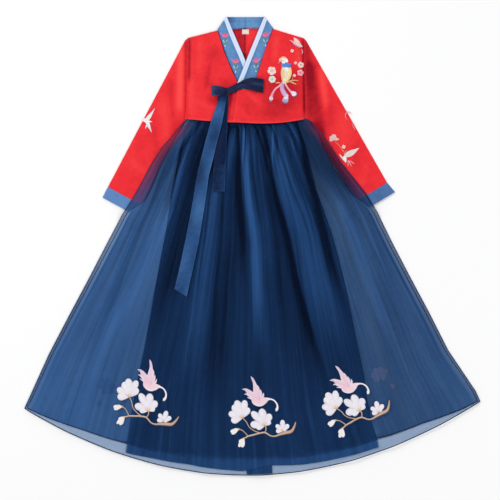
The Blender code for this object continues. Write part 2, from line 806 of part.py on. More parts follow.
def laid_ribbon(name, table, count, lift, parent):
    """A ribbon over whatever it lies on, its underside clear of the highest point near each place."""
    grid = panel_grid(table, (0,), (0,), count)
    x, y = grid[..., 0], grid[..., 1]
    z = np.full(x.shape, -1e9)
    along, aside = RIBBON_REACH
    for step in range(9):
        here = front_top(x + aside * (step % 3 - 1), y + along * (step // 3 - 1))
        z = np.maximum(z, here)
    z += SEAM + lift(y)
    cloth_sheet(name, np.stack([x, y, z], axis=-1), RIBBON_WALL, "ribbon_navy", parent)


def make_tie(parent):
    laid_ribbon("ribbon_root", ROOT, 2, lambda y: 0.0 * y, parent)
    laid_ribbon("ribbon_tail_short", TAIL_SHORT, 2, lambda y: 0.0 * y, parent)
    laid_ribbon(
        "ribbon_tail_long", TAIL_LONG, 2, lambda y: LONG_TAIL_LIFT * smooth((y - 60) / 50), parent
    )

    grid = panel_grid(KNOT, (0,), (0,), 3)
    rise = np.linspace(0, 1, len(KNOT))[:, None]
    round_over = np.sin(math.pi * np.linspace(0.08, 0.92, grid.shape[1]))[None, :]
    low = grid[..., :3].copy()
    low[..., 2] = np.array(KNOT_Z)[:, None]
    high = low.copy()
    high[..., 2] += KNOT_EDGE + KNOT_SWELL * round_over * (0.7 + 0.3 * np.sin(math.pi * rise))
    closed_sheet("ribbon_knot", low, high, "ribbon_navy", parent)

    sections = []
    up = np.array([0.0, 0.0, 1.0])
    for row in LOOP:
        ends = [np.array([*end, LOOP_Z + RIBBON_WALL / 2]) for end in (row[:2], row[2:4])]
        sections.append((*ends, -up))
    end = LOOP[-1]
    middle_z = LOOP_Z + RIBBON_WALL / 2 + LOOP_RADIUS
    for step in range(1, BEND_STEPS):
        turn = math.pi * step / BEND_STEPS
        shift = np.array([LOOP_RADIUS * math.sin(turn), 0, middle_z - LOOP_RADIUS * math.cos(turn)])
        facing = np.array([math.sin(turn), 0, -math.cos(turn)])
        sections.append(
            (np.array([*end[:2], 0]) + shift, np.array([*end[2:4], 0]) + shift, facing)
        )
    for number, row in enumerate(LOOP[::-1]):
        puff = LOOP_PUFF * math.sin(math.pi * number / (len(LOOP) - 1))
        top_z = LOOP_Z + RIBBON_WALL / 2 + 2 * LOOP_RADIUS + puff
        ends = [np.array([*end, top_z]) for end in (row[:2], row[2:4])]
        sections.append((*ends, up))
    strip("ribbon_loop", sections, RIBBON_WALL, "ribbon_navy", parent)


def clear_scene():
    for thing in list(bpy.data.objects):
        bpy.data.objects.remove(thing, do_unlink=True)


def main():
    clear_scene()
    garment = bpy.data.objects.new("hanbok", None)
    bpy.context.scene.collection.objects.link(garment)
    make_jacket_back(garment)
    make_jacket_fronts(garment)
    make_sleeves(garment)
    make_collar(garment)
    make_label(garment)
    make_waistband(garment)
    make_skirt(garment)
    make_tie(garment)


main()
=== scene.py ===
"""The looks of a child's hanbok laid out flat: a red jacket over a gathered navy organza skirt.

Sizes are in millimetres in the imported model's own frame, with the neck towards +Y and the front facing
+Z, and build_mesh() turns them into metres. "Left" is -X, but the jacket's two fronts are
named for the wearer's sides.
"""

import math
from collections import namedtuple

import bpy
import numpy as np
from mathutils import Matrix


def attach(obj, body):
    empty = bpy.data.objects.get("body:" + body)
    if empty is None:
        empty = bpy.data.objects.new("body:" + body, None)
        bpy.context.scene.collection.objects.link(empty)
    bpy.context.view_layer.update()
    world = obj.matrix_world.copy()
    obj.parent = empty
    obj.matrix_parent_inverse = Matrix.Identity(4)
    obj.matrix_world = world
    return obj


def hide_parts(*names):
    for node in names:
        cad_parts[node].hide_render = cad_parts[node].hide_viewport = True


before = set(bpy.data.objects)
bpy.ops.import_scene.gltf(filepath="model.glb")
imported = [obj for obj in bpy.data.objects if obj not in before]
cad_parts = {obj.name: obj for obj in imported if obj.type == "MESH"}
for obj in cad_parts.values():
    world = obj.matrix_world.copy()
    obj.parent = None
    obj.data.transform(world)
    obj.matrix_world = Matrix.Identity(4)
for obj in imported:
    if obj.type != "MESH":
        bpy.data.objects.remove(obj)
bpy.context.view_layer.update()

# ------------------------------------------------------------------ the jacket's back
# Two halves of red cotton with a satin face, seamed down the middle of the back and lying flat on the
# table. Their inside shows within the collar, with painted shade on the left of the seam and deep in the
# neck.

MM = 0.001
JACKET_WALL = 1.0
BACK_SEAM_X = -16.0
JACKET_LEFT = -157.5
JACKET_RIGHT = 126.5
SHOULDER_LEFT = (-154.0, 498.0)
SHOULDER_RIGHT = (124.0, 497.0)
NECK_LEFT = (-83.0, 516.5)
NECK_RIGHT = (49.3, 520.0)
NECK_BACK_Y = 520.7
HEM_SIDE_Y = 306.0
HEM_DROP = 14.0
BACK_SEAM_GAP = 0.15
BACK_SEAM_RIDGE = 0.5
WEAVE_DEPTH = 0.00012  # metres, as a material has it
SHARP_ANGLE = 55.0


def smooth(x):
    """0 below 0, 1 above 1, eased between."""
    x = np.clip(x, 0, 1)
    return x * x * (3 - 2 * x)


def eased(value, start, end):
    """0 before the start, 1 past the end, eased between."""
    return smooth((value - start) / (end - start))


def ridge(distance, width):
    """1 on a line, falling away softly to either side of it."""
    return np.exp(-((distance / width) ** 2))


def dye(red, green, blue):
    """A colour as the eye mixes it, 0 to 255, as the share of light that it gives back."""
    shares = (value / 255 for value in (red, green, blue))
    return tuple(((share + 0.055) / 1.055) ** 2.4 if share > 0.04 else share / 12.92 for share in shares)


class Finish:
    """A material under way: its shader, and the nodes that feed it."""

    SLOTS = {"A": 0, "B": 1, "C": 2}
    WAVE_LENGTH = 0.314  # of a wave texture at scale 1

    def __init__(self, name, roughness, sheen=0.0, gloss=0.1, alpha=1.0):
        self.material = bpy.data.materials.new(name)
        self.material.use_nodes = True
        self.nodes = self.material.node_tree.nodes
        self.shader = self.nodes["Principled BSDF"]
        self.shader.inputs["Roughness"].default_value = roughness
        self.shader.inputs["Specular IOR Level"].default_value = gloss
        self.shader.inputs["Sheen Weight"].default_value = sheen
        self.shader.inputs["Sheen Roughness"].default_value = 0.4
        self.shader.inputs["Alpha"].default_value = alpha

    def add(self, kind, settings=None, **inputs):
        """A node of that kind. An input is a number, a colour, or another node's output."""
        node = self.nodes.new("ShaderNode" + kind)
        for name, value in (settings or {}).items():
            setattr(node, name, value)
        for name, value in inputs.items():
            socket = node.inputs[self.SLOTS.get(name, name.replace("_", " "))]
            if isinstance(value, bpy.types.NodeSocket):
                self.material.node_tree.links.new(value, socket)
            else:
                socket.default_value = value
        return node

    def sum(self, first, second):
        return self.add("Math", {"operation": "ADD"}, A=first, B=second).outputs[0]

    def scaled(self, value, factor, plus=0.0):
        return self.add("Math", {"operation": "MULTIPLY_ADD"}, A=value, B=factor, C=plus).outputs[0]

    def mark(self, name):
        """A value that cloth() or sewn_on() left at the mesh's points."""
        return self.add("Attribute", {"attribute_name": name}).outputs["Fac"]

    def ramp(self, value, stops):
        node = self.add("ValToRGB", Fac=value)
        elements = node.color_ramp.elements
        while len(elements) < len(stops):
            elements.new(0.5)
        for element, (position, colour) in zip(elements, stops):
            element.position = position
            element.color = (*colour, 1)
        return node.outputs["Color"]

    def toward(self, first, colour, share):
        """The first colour turned towards another by a share from 0 to 1."""
        mixed = self.nodes.new("ShaderNodeMix")
        mixed.data_type = "RGBA"
        self.material.node_tree.links.new(share, mixed.inputs[0])
        self.material.node_tree.links.new(first, mixed.inputs[6])
        mixed.inputs[7].default_value = (*colour, 1)
        return mixed.outputs[2]

    def colour(self, socket):
        self.material.node_tree.links.new(socket, self.shader.inputs["Base Color"])

    def relief(self, height, distance, strength=1.0):
        bump = self.add("Bump", Height=height, Distance=distance, Strength=strength)
        self.material.node_tree.links.new(bump.outputs["Normal"], self.shader.inputs["Normal"])

    def weave(self, pitch):
        """The height of plain-woven threads, pitch metres apart, over and under each other."""
        place = self.add("TexCoord").outputs["Object"]
        scale = self.WAVE_LENGTH / pitch
        waves = [
            self.add("TexWave", {"bands_direction": axis}, Vector=place, Scale=scale).outputs["Fac"]
            for axis in "XY"
        ]
        return self.add("Math", {"operation": "MULTIPLY"}, A=waves[0], B=waves[1]).outputs[0]

    def patches(self, size, detail=3.0):
        """Soft uneven patches about that many metres across, from -0.5 to 0.5."""
        place = self.add("TexCoord").outputs["Object"]
        noise = self.add("TexNoise", Vector=place, Scale=1 / size, Detail=detail)
        return self.scaled(noise.outputs["Fac"], 1.0, -0.5)

    def painted_fold_shade(self, count, length):
        """Painted light and shade of fine folds, that many across a gathered piece and some rows long, from
        -0.5 to 0.5.
        """
        across = self.scaled(self.mark("across"), count)
        down = self.scaled(self.mark("down"), 1 / length)
        place = self.add("CombineXYZ", X=across, Y=down).outputs["Vector"]
        noise = self.add("TexNoise", Vector=place, Scale=1.0, Detail=2.0)
        return self.scaled(noise.outputs["Fac"], 1.0, -0.5)


def woven(
    name, dark, plain, light, roughness=0.6, *, sheen=0.0, gloss=0.1, mottle=0.25, pitch=0.0011, gathered=0.0
):
    """Woven cloth, from dark to light by the tone mark, which carries painted light and shade, with uneven
    patches and a weave.

    A gathered one also has the painted light and shade of fine folds, by its across and down marks.
    """
    finish = Finish(name, roughness, sheen, gloss)
    tone = finish.scaled(finish.mark("tone"), 0.5, 0.5)
    uneven = finish.scaled(finish.sum(finish.patches(0.05), finish.patches(0.009)), mottle)
    if gathered:
        folds = finish.sum(finish.painted_fold_shade(count=190, length=3.5), finish.painted_fold_shade(count=70, length=5.0))
        uneven = finish.sum(uneven, finish.scaled(folds, gathered))
    stops = [(0.0, dye(*dark)), (0.5, dye(*plain)), (1.0, dye(*light))]
    finish.colour(finish.ramp(finish.sum(tone, uneven), stops))
    finish.relief(finish.weave(pitch), WEAVE_DEPTH)
    return finish.material


def build_mesh(name, points, faces, material, marks):
    """A named mesh with values marked at its points, riding on the garment's one body."""
    mesh = bpy.data.meshes.new(name)
    mesh.from_pydata((points * MM).tolist(), [], faces.tolist())
    for mark, values in marks.items():
        mesh.attributes.new(mark, "FLOAT", "POINT").data.foreach_set("value", values.astype(np.float32))
    mesh.shade_smooth()
    mesh.set_sharp_from_angle(angle=math.radians(SHARP_ANGLE))
    mesh.materials.append(material)
    piece = bpy.data.objects.new(name, mesh)
    bpy.context.scene.collection.objects.link(piece)
    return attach(piece, "root")


def grid_faces(index):
    """The faces between the points of a grid, given their numbers."""
    corners = (index[:-1, :-1], index[1:, :-1], index[1:, 1:], index[:-1, 1:])
    return np.stack(corners, axis=-1).reshape(-1, 4)


def tube_faces(index):
    """The faces of a tube whose rings are the rows of a grid."""
    return grid_faces(np.concatenate([index, index[:, :1]], axis=1))


def cloth(name, top, wall, material, **marks):
    """Cloth whose upper face is a grid of points, with a wall below it, or none if the wall is 0."""
    index = np.arange(top.shape[0] * top.shape[1]).reshape(top.shape[:2])
    faces = grid_faces(index)
    points = top.reshape(-1, 3)
    marks = {mark: np.broadcast_to(values, index.shape).ravel() for mark, values in marks.items()}
    corner = [points[faces[:, i]] for i in range(3)]
    upward = np.cross(corner[1] - corner[0], corner[2] - corner[0])[:, 2].sum() > 0
    if wall:
        rim = np.concatenate([index[0], index[1:, -1], index[-1, -2::-1], index[-2:0:-1, 0]])
        after = np.roll(rim, -1)
        count = index.size
        sides = np.stack([rim, after, after + count, rim + count], axis=-1)
        faces = np.concatenate([faces, faces[:, ::-1] + count, sides])
        points = np.concatenate([points, points - (0, 0, wall)])
        marks = {mark: np.tile(values, 2) for mark, values in marks.items()}
    if not upward:
        faces = faces[:, ::-1]
    return build_mesh(name, points, faces, material, marks)


def jacket_hem_y(x):
    """The jacket's hem, which curves down to its middle."""
    half = (JACKET_RIGHT - JACKET_LEFT) / 2
    middle = (JACKET_RIGHT + JACKET_LEFT) / 2
    return HEM_SIDE_Y - HEM_DROP * (1 - np.clip((x - middle) / half, -1, 1) ** 2)


red_cloth = woven(
    "red_satin_cotton", (146, 0, 24), (236, 43, 52), (255, 80, 74), 0.55, sheen=0.03, mottle=0.24
)
# The cloth's rougher reverse: its darker colours are partly its own and partly painted shade within the neck
red_inside_in_shade = woven("red_inside_in_shade", (84, 0, 10), (198, 30, 44), (244, 54, 60), 0.7)

# Each half's outline, its painted lightness, and its painted shade away from the seam, which is deeper on the
# left one
BackHalf = namedtuple("BackHalf", "side turn edge_x shoulder neck tone shade")
BACK_HALVES = [
    BackHalf("left", -1, JACKET_LEFT, SHOULDER_LEFT, NECK_LEFT, -0.1, -0.6),
    BackHalf("right", 1, JACKET_RIGHT, SHOULDER_RIGHT, NECK_RIGHT, 1.0, -0.3),
]
for half in BACK_HALVES:
    seam_x = BACK_SEAM_X + half.turn * BACK_SEAM_GAP
    under_shoulder = half.shoulder[0] - half.turn * 1.5
    reach = np.linspace(0, 1, 61)
    upper_x = np.interp(reach, (0, 0.5, 1), (half.shoulder[0], half.neck[0], seam_x))
    upper_y = np.interp(reach, (0, 0.5, 1), (half.shoulder[1], half.neck[1], NECK_BACK_Y))
    lower_x = np.interp(reach, (0, 0.08, 0.5, 1), (half.edge_x, under_shoulder, half.neck[0], seam_x))
    lower_y = jacket_hem_y(lower_x)
    depth = np.linspace(1, 0, 61)[:, None]
    x = lower_x + (upper_x - lower_x) * depth
    y = lower_y + (upper_y - lower_y) * depth
    from_seam = np.abs(x - seam_x)
    z = JACKET_WALL + BACK_SEAM_RIDGE * ridge(from_seam, 2.5) * smooth(from_seam / 1.2)
    # Painted light and shade: a darker line along the seam, and painted shade away from it
    tone = half.tone - 0.5 * ridge(from_seam, 3.0) + half.shade * eased(from_seam, 22, 42)
    # Painted shade deep in the collar's V and under the collar's back
    tone -= 1.3 * eased(y, 470, 430)  # deep in the collar's V
    tone -= 0.6 * eased(y, 513, 520)  # under the collar's back
    back = cloth("back_half_" + half.side, np.stack([x, y, z], axis=-1), JACKET_WALL, red_inside_in_shade, tone=tone)
    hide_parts("jacket_back_" + half.side)

# ------------------------------------------------------------------ the neck label
# A small blank woven label of cream cotton, sewn over the back seam just under the collar, with its
# two ends turned in.

LABEL_X = (-24.6, -8.2)
LABEL_Y = (518.4, 507.0)
LABEL_Z = 2.3
LABEL_WALL = 0.5
LABEL_TURNING = 1.6

label_cloth = woven(
    "label_cotton", (176, 146, 136), (232, 208, 204), (252, 240, 236), 0.8, pitch=0.0008
)
x, y = np.meshgrid(np.linspace(*LABEL_X, 25), np.linspace(*LABEL_Y, 19))
rim_x = np.minimum(x - LABEL_X[0], LABEL_X[1] - x)
rim_y = np.minimum(LABEL_Y[0] - y, y - LABEL_Y[1])
fold_line = ridge(np.minimum(rim_x, rim_y) - LABEL_TURNING, 0.5)
z = LABEL_Z - 0.25 * fold_line + 0.12 * np.sin((x - LABEL_X[0]) * 0.4)
# Painted shade along the lines where its ends are turned in
tone = 0.4 - 1.1 * fold_line
label = cloth("label_at_neck", np.stack([x, y, z], axis=-1), LABEL_WALL, label_cloth, tone=tone)
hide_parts("neck_label")

# ------------------------------------------------------------------ sleeves and cuffs
# Straight sleeves, each one piece of red cloth folded along its outer edge and seamed along the inner
# one, so it lies as a flat double tube with an open end. A blue cuff is sewn round that end.

# A cut across a flat piece, from its left edge to its right one, and how far its middle sags
Row = namedtuple("Row", "left_x left_y right_x right_y sag")
SLEEVE_LEFT = [
    Row(-154.6, 497.8, -157.9, 308, 0),
    Row(-162, 491, -162.7, 298, 0),
    Row(-195.5, 427, -179.3, 264, 0),
    Row(-229, 363.5, -195.4, 231, 0),
    Row(-262.5, 300, -212, 197, 0),
    Row(-296, 236.5, -228.6, 163, 0),
    Row(-323, 185, -245.2, 129, 0),
    Row(-346.4, 140.6, -261.7, 95.3, 0),
]
CUFF_LEFT = [
    Row(-346.6, 140.3, -261.9, 95.0, 0),
    Row(-353, 128, -268.5, 82.5, 0),
    Row(-359.4, 115.2, -275, 70, 0),
]
SLEEVE_RIGHT = [
    Row(124.6, 496.8, 127.9, 309, 0),
    Row(130, 490, 133.6, 299, 0),
    Row(165, 428.5, 152.9, 266, 0),
    Row(200, 367, 171.6, 234, 0),
    Row(235, 306, 190.3, 202, 0),
    Row(269, 246, 209, 170, 0),
    Row(297, 197, 227.7, 138, 0),
    Row(323, 151.4, 247, 105, 0),
]
CUFF_RIGHT = [
    Row(323.2, 151.1, 247.2, 104.7, 0),
    Row(332.7, 139.8, 254, 92, 0),
    Row(342.4, 128.6, 261, 80, 0),
]
SLEEVE_EDGE = 2.7
SLEEVE_CROWN = 5.0
SLEEVE_INSIDE = (0.985, 0.985, 0.72)  # the tube's inner face as a share of its outer one

# A soft crease along a line: how wide it is, how high it stands (a trough is negative), and its tone of
# painted light or shade
Crease = namedtuple("Crease", "x_0 y_0 x_1 y_1 half height tone")
SLEEVE_CREASES = [
    Crease(-159, 500, -160, 300, 5, -1.0, -0.5),
    Crease(-171, 480, -174, 320, 9, 0.9, 0.8),
    Crease(-196, 400, -190, 300, 7, -0.6, -0.25),
    Crease(-215, 360, -205, 250, 12, 0.7, 0.25),
    Crease(-240, 300, -222, 200, 9, -0.5, -0.2),
    Crease(-300, 205, -250, 170, 10, 0.5, 0.2),
    # These two have no height: they are painted shade alone, where the skirt's edge lies over each sleeve
    Crease(-166, 292, -258, 95, 15, 0, -0.5),
    Crease(138, 294, 252, 96, 15, 0, -1.4),
    Crease(130, 495, 138, 300, 12, -1.2, -0.7),
    Crease(140, 440, 168, 262, 14, -1.0, -0.7),
    Crease(163, 430, 176, 330, 9, 0.9, 0.6),
    Crease(186, 380, 190, 280, 8, -0.5, -0.2),
    Crease(215, 330, 225, 230, 12, 0.6, 0.25),
    Crease(255, 250, 245, 180, 9, -0.4, -0.2),
    Crease(275, 200, 262, 140, 9, 0.5, 0.2),
]


def columns_at(table, place):
    """Each column of a table, between its rows where the place isn't a whole number."""
    table = np.asarray(table, float)
    numbers = np.arange(len(table))
    return [np.interp(place, numbers, table[:, column]) for column in range(table.shape[1])]


def plan_point(table, place, part):
    """Plan point at a fractional row of a table and a part, 0 to 1, of the way across it."""
    left_x, left_y, right_x, right_y, sag = columns_at(table, place)
    x = left_x + (right_x - left_x) * part
    y = left_y + (right_y - left_y) * part - sag * (1 - (2 * part - 1) ** 2)
    return x, y


def creased(table, x, y):
    """The height and the tone of painted light and shade that the creases in a table add at plan points."""
    height, tone = np.zeros(np.shape(x)), np.zeros(np.shape(x))
    for crease in table:
        along = np.array([crease.x_1 - crease.x_0, crease.y_1 - crease.y_0], float)
        length = np.linalg.norm(along)
        along /= length
        reach = (x - crease.x_0) * along[0] + (y - crease.y_0) * along[1]
        aside = (x - crease.x_0) * along[1] - (y - crease.y_0) * along[0]
        ends = eased(reach, -12, 18) * eased(reach, length + 12, length - 18)
        size = ends * ridge(aside, crease.half)
        height += crease.height * size
        tone += crease.tone * size
    return height, tone


def flat_sleeve(name, table, rows, seamed, material, creases, sign):
    """A flattened tube, open at its far end, whose upper side bears the creases.

    One that is seamed to the jacket is flat there, and rises from it.
    """
    place = np.linspace(0, len(table) - 1, rows)[:, None]
    part = (1 - np.cos(np.linspace(0, math.pi, 41))) / 2
    x, y = plan_point(table, place, part)
    rise = smooth(place / 2) if seamed else np.ones_like(place)
    swell = np.sin(math.pi * part) ** 0.6
    middle = SLEEVE_EDGE + (SLEEVE_CROWN - SLEEVE_EDGE) * rise * swell
    height, tone = creased(creases, x, y)
    rounded = np.sqrt(np.clip(1 - (2 * part - 1) ** 12, 0, 1))
    half_edge = SLEEVE_EDGE / 2
    top = half_edge + (middle - half_edge + height * swell) * rounded
    top = np.maximum(top, half_edge + (SLEEVE_EDGE * 0.3) * rounded)
    bottom = half_edge - (half_edge - 0.02) * rounded
    ring_x = np.concatenate([x, x[:, -2:0:-1]], axis=1)
    ring_y = np.concatenate([y, y[:, -2:0:-1]], axis=1)
    ring_z = np.concatenate([top, np.broadcast_to(bottom, top.shape)[:, -2:0:-1]], axis=1)
    ring_tone = np.concatenate([tone, np.zeros_like(tone[:, -2:0:-1])], axis=1)
    outer = np.stack([ring_x, ring_y, ring_z], axis=-1)
    middle_point = outer.mean(axis=1, keepdims=True)
    inner = middle_point + (outer - middle_point) * SLEEVE_INSIDE
    count = outer.shape[0] * outer.shape[1]
    index = np.arange(count).reshape(outer.shape[:2])
    faces = tube_faces(index)
    rims = []
    for ring, flip in ((index[0], False), (index[-1], True)):
        after = np.roll(ring, -1)
        rim = np.stack([ring, after, after + count, ring + count], axis=-1)
        rims.append(rim[:, ::-1] if flip else rim)
    faces = np.concatenate([faces, faces[:, ::-1] + count, *rims])
    if sign < 0:
        faces = faces[:, ::-1]
    points = np.concatenate([outer.reshape(-1, 3), inner.reshape(-1, 3)])
    # Its inner face has a darker tone, painted shade inside the tube
    tones = np.concatenate([ring_tone.ravel(), np.full(count, -0.6)])
    return build_mesh(name, points, faces, material, {"tone": tones})


# The right cuff lies in the skirt's shade
CUFF_SHADE = [Crease(250, 130, 345, 95, 60, 0, -0.8)]
blue_cotton = woven("cuff_blue_cotton", (62, 94, 146), (94, 134, 188), (120, 158, 206))

for side, sleeve, cuff, sign in (
    ("left", SLEEVE_LEFT, CUFF_LEFT, 1),
    ("right", SLEEVE_RIGHT, CUFF_RIGHT, -1),
):
    tube = flat_sleeve("red_sleeve_" + side, sleeve, 121, True, red_cloth, SLEEVE_CREASES, sign)
    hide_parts("sleeve_" + side)
    band = flat_sleeve("blue_cuff_" + side, cuff, 19, False, blue_cotton, CUFF_SHADE, sign)
    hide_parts("cuff_" + side)

# ------------------------------------------------------------------ the skirt's waistband
# A plain band of lining cloth round the gathered top of the skirt, a flattened tube that lies between
# the jacket's back and its fronts, out of sight.

BAND_Y = (405.0, 345.3)
BAND_LEFT = (-145.0, -143.3)
BAND_RIGHT = (115.0, 113.3)
BAND_Z = 4.9
BAND_HALF = 2.9
BAND_PUCKERS = 46

lining_cloth = woven(
    "lining_plain", (40, 76, 124), (80, 117, 164), (110, 148, 194), 0.5, mottle=0.2, gathered=0.5
)

place = np.linspace(0, 1, 13)[:, None]
turn = np.linspace(0, 2 * math.pi, 65)[None, :-1]
left_x = np.interp(place, (0, 1), BAND_LEFT)
right_x = np.interp(place, (0, 1), BAND_RIGHT)
puckers = 0.25 * np.sin(turn * BAND_PUCKERS) * place
ring_x = (left_x + right_x) / 2 + (right_x - left_x) / 2 * np.cos(turn)
ring_y = BAND_Y[0] + (BAND_Y[1] - BAND_Y[0]) * place + np.zeros_like(turn)
ring_z = BAND_Z + (BAND_HALF + puckers) * np.sin(turn)
ring = np.stack([ring_x, ring_y, ring_z], axis=-1)
index = np.arange(ring_z.size).reshape(ring_z.shape)
marks = {"tone": np.full(index.size, -0.2)}
band = build_mesh("skirt_waist_band", ring.reshape(-1, 3), tube_faces(index), lining_cloth, marks)
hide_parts("waistband")

# ------------------------------------------------------------------ the skirt's lining and its back
# The back of the skirt lies underneath: a sheer organza overlay over a plain blue lining. The front
# lining lies on that. All three hang from the same waist, and spread over the sleeves' inner edges.

# From the waist to the organza's hem. Other values of the skirt go by these rows' numbers, 0 to 15
SKIRT = [
    Row(-143, 345, 113, 345, 0),
    Row(-148, 326, 117, 326, 8),
    Row(-152.5, 307, 120.5, 307, 15),
    Row(-163, 296, 139, 298, 18),
    Row(-190, 264, 166, 268, 24),
    Row(-215, 236, 188, 237, 30),
    Row(-240, 198, 214, 197, 38),
    Row(-265, 150, 243, 161, 46),
    Row(-287, 111, 271, 126, 54),
    Row(-312, 73, 300, 78, 64),
    Row(-352, -3, 336, 5, 82),
    Row(-392, -80, 377, -74, 100),
    Row(-440, -170, 423, -160, 120),
    Row(-487, -260, 469, -251, 140),
    Row(-535, -366, 535, -349, 162),
    Row(-546, -390, 546, -373, 168),
]
LAST = len(SKIRT) - 1
SIDE_SEAM = 15.0

# How the skirt lies over each sleeve: how far past its edge it stays up, its fall, and its height
SleeveRest = namedtuple("SleeveRest", "y margin fall height")
OVER_SLEEVE = [
    SleeveRest(60, 14, 30, 5.4),
    SleeveRest(150, 12, 28, 5.4),
    SleeveRest(230, 12, 20, 5.3),
    SleeveRest(280, 12, 16, 4.5),
    SleeveRest(302, 3, 7, 4.2),
]

# How far the lining stays inside the organza at rows down the skirt, more where the sleeves lie under
Inset = namedtuple("Inset", "row width")
LINING_INSETS = [
    Inset(0, 6),
    Inset(2, 3),
    Inset(3, 3),
    Inset(4, 8),
    Inset(5, 17),
    Inset(6, 21),
    Inset(7, 26),
    Inset(8, 28),
    Inset(8.8, 8),
    Inset(15, 5),
]

# How far above the organza's hem the lining and the inner panel end, across the skirt from 0 to 1
HemGap = namedtuple("HemGap", "part lining panel")
HEM_GAPS = [
    HemGap(0.00, 3, 6),
    HemGap(0.04, 7, 6),
    HemGap(0.12, 19, 6),
    HemGap(0.22, 28, 6),
    HemGap(0.28, 30, 12),
    HemGap(0.36, 33, 15),
    HemGap(0.48, 34, 10),
    HemGap(0.54, 34, 22),
    HemGap(0.62, 32, 15),
    HemGap(0.78, 29, 10),
    HemGap(0.88, 21, 6),
    HemGap(0.96, 7, 6),
    HemGap(1.00, 3, 6),
]


def column_of(table, value, column):
    """A column of a table at a value of its first one."""
    table = np.asarray(table, float)
    return np.interp(value, table[:, 0], table[:, column])


def skirt_point(place, part):
    return plan_point(SKIRT, place, part)


def skirt_width(place):
    """The skirt's width from side to side at a fractional row."""
    left_x, left_y, right_x, right_y, _ = columns_at(SKIRT, place)
    return np.hypot(right_x - left_x, right_y - left_y)


def above_hem(part, gap):
    """The fractional row that lies a gap above the organza's hem."""
    upper, lower = SKIRT[-2:]
    depth = upper.left_y - lower.left_y + 4 * (lower.sag - upper.sag) * part * (1 - part)
    return LAST - gap / depth


def lining_hem(part):
    """The fractional row at which the lining ends."""
    return above_hem(part, column_of(HEM_GAPS, part, 1))


def panel_hem(part):
    """The fractional row at which the inner panel ends."""
    return above_hem(part, column_of(HEM_GAPS, part, 2))


def outside(x, y, corners):
    """Distance outside a convex outline, negative inside it."""
    corners = np.asarray(corners, float)
    middle = corners.mean(axis=0)
    reach = np.full(np.shape(x), -1e9)
    for here, after in zip(corners, np.roll(corners, -1, axis=0)):
        edge = (after - here) / math.dist(here, after)
        normal = np.array([edge[1], -edge[0]])
        normal *= -np.sign(normal @ (middle - here))
        reach = np.maximum(reach, (x - here[0]) * normal[0] + (y - here[1]) * normal[1])
    return reach


def skirt_rest(x, y):
    """Height of what the skirt lies on: the floor, the jacket's back, and the sleeves' inner edges."""
    height = 1.6 * eased(y - jacket_hem_y(x), -34, -8)
    margin, fall, over = (column_of(OVER_SLEEVE, y, column) for column in (1, 2, 3))
    for sleeve, cuff in ((SLEEVE_LEFT, CUFF_LEFT), (SLEEVE_RIGHT, CUFF_RIGHT)):
        outline = [sleeve[0][:2], sleeve[1][:2], cuff[-1][:2], cuff[-1][2:4], sleeve[0][2:4]]
        reach = outside(x, y, outline)
        height = np.maximum(height, over * smooth((margin + fall - reach) / fall))
    return height


def skirt_grid(rows, columns, inset=None):
    """Rows and parts of a skirt layer's points, with its sides drawn in by the inset's table."""
    place = np.linspace(0, LAST, rows)[:, None]
    spread = (1 - np.cos(np.linspace(0, math.pi, columns))) / 2
    spread = 0.35 * spread + 0.65 * np.linspace(0, 1, columns)
    if inset:
        edge = column_of(inset, place, 1) / skirt_width(place)
        spread = edge + (1 - 2 * edge) * spread
    return np.broadcast_arrays(place, spread)


STREAK_SEED = 7


def streaks(place, part, count, seed, narrow, start, length):
    """Many fine gathers from the waist, each with its own place, width, length and strength.

    Their width is a part of the skirt's, and their start and length are in its rows.
    """
    random = np.random.default_rng(seed)
    total = np.zeros(np.broadcast(place, part).shape)
    for step in range(count):
        centre = (step + 0.5 + random.uniform(-0.35, 0.35)) / count
        drift = random.uniform(-0.025, 0.025)
        width = narrow * random.uniform(0.6, 1.5)
        strength = random.uniform(-1, 1)
        begins = start * random.uniform(0, 1)
        ends = begins + length * random.uniform(0.4, 1.2)
        fade = eased(place, begins, begins + 1.2) * eased(place, ends, ends - 0.5 * length)
        total += strength * fade * ridge(part - centre - drift * place / LAST, width)
    return total


def gathers(place, part):
    """Fine gathers that fan out from the waist, as painted light and shade in tone; they are higher where
    they are lighter.
    """
    near = streaks(place, part, 54, STREAK_SEED, narrow=0.0055, start=0.4, length=5.5)
    far = streaks(place, part, 80, STREAK_SEED + 1, narrow=0.004, start=6.0, length=9.0)
    broad = streaks(place, part, 30, STREAK_SEED + 2, narrow=0.012, start=3.0, length=9.0)
    return near * 2.1 + far * 0.75 + broad * 0.5


def rolled_edge(name, line, radius, tone):
    """A thin rolled edge of navy organza along a line of points."""
    along = np.gradient(line, axis=0)
    along /= np.linalg.norm(along, axis=1, keepdims=True)
    aside = np.cross(along, (0, 0, 1))
    aside /= np.linalg.norm(aside, axis=1, keepdims=True)
    up = np.cross(aside, along)
    turn = np.linspace(0, 2 * math.pi, 9)[:-1, None]
    ring = line[:, None] + radius * (aside[:, None] * np.cos(turn) + up[:, None] * np.sin(turn))
    index = np.arange(ring.shape[0] * ring.shape[1]).reshape(ring.shape[:2])
    marks = {"tone": np.full(index.size, tone)}
    return build_mesh(name, ring.reshape(-1, 3), tube_faces(index), navy_edge, marks)


# Organza is one surface, sheer by its alpha. Its tone, painted light and shade, runs from the dark of many
# gathers to the light of one. Its glow mark paints the pale blue light that it takes over a white table, and
# another mark paints the red light that comes through where one layer lies over a sleeve.
ORGANZA_ALPHA = 0.6
NAVY_DARK = (2, 14, 38)
NAVY = (19, 48, 88)
NAVY_LIGHT = (46, 90, 148)
OVER_TABLE = (132, 157, 190)
OVER_SLEEVE_RED = (206, 48, 66)


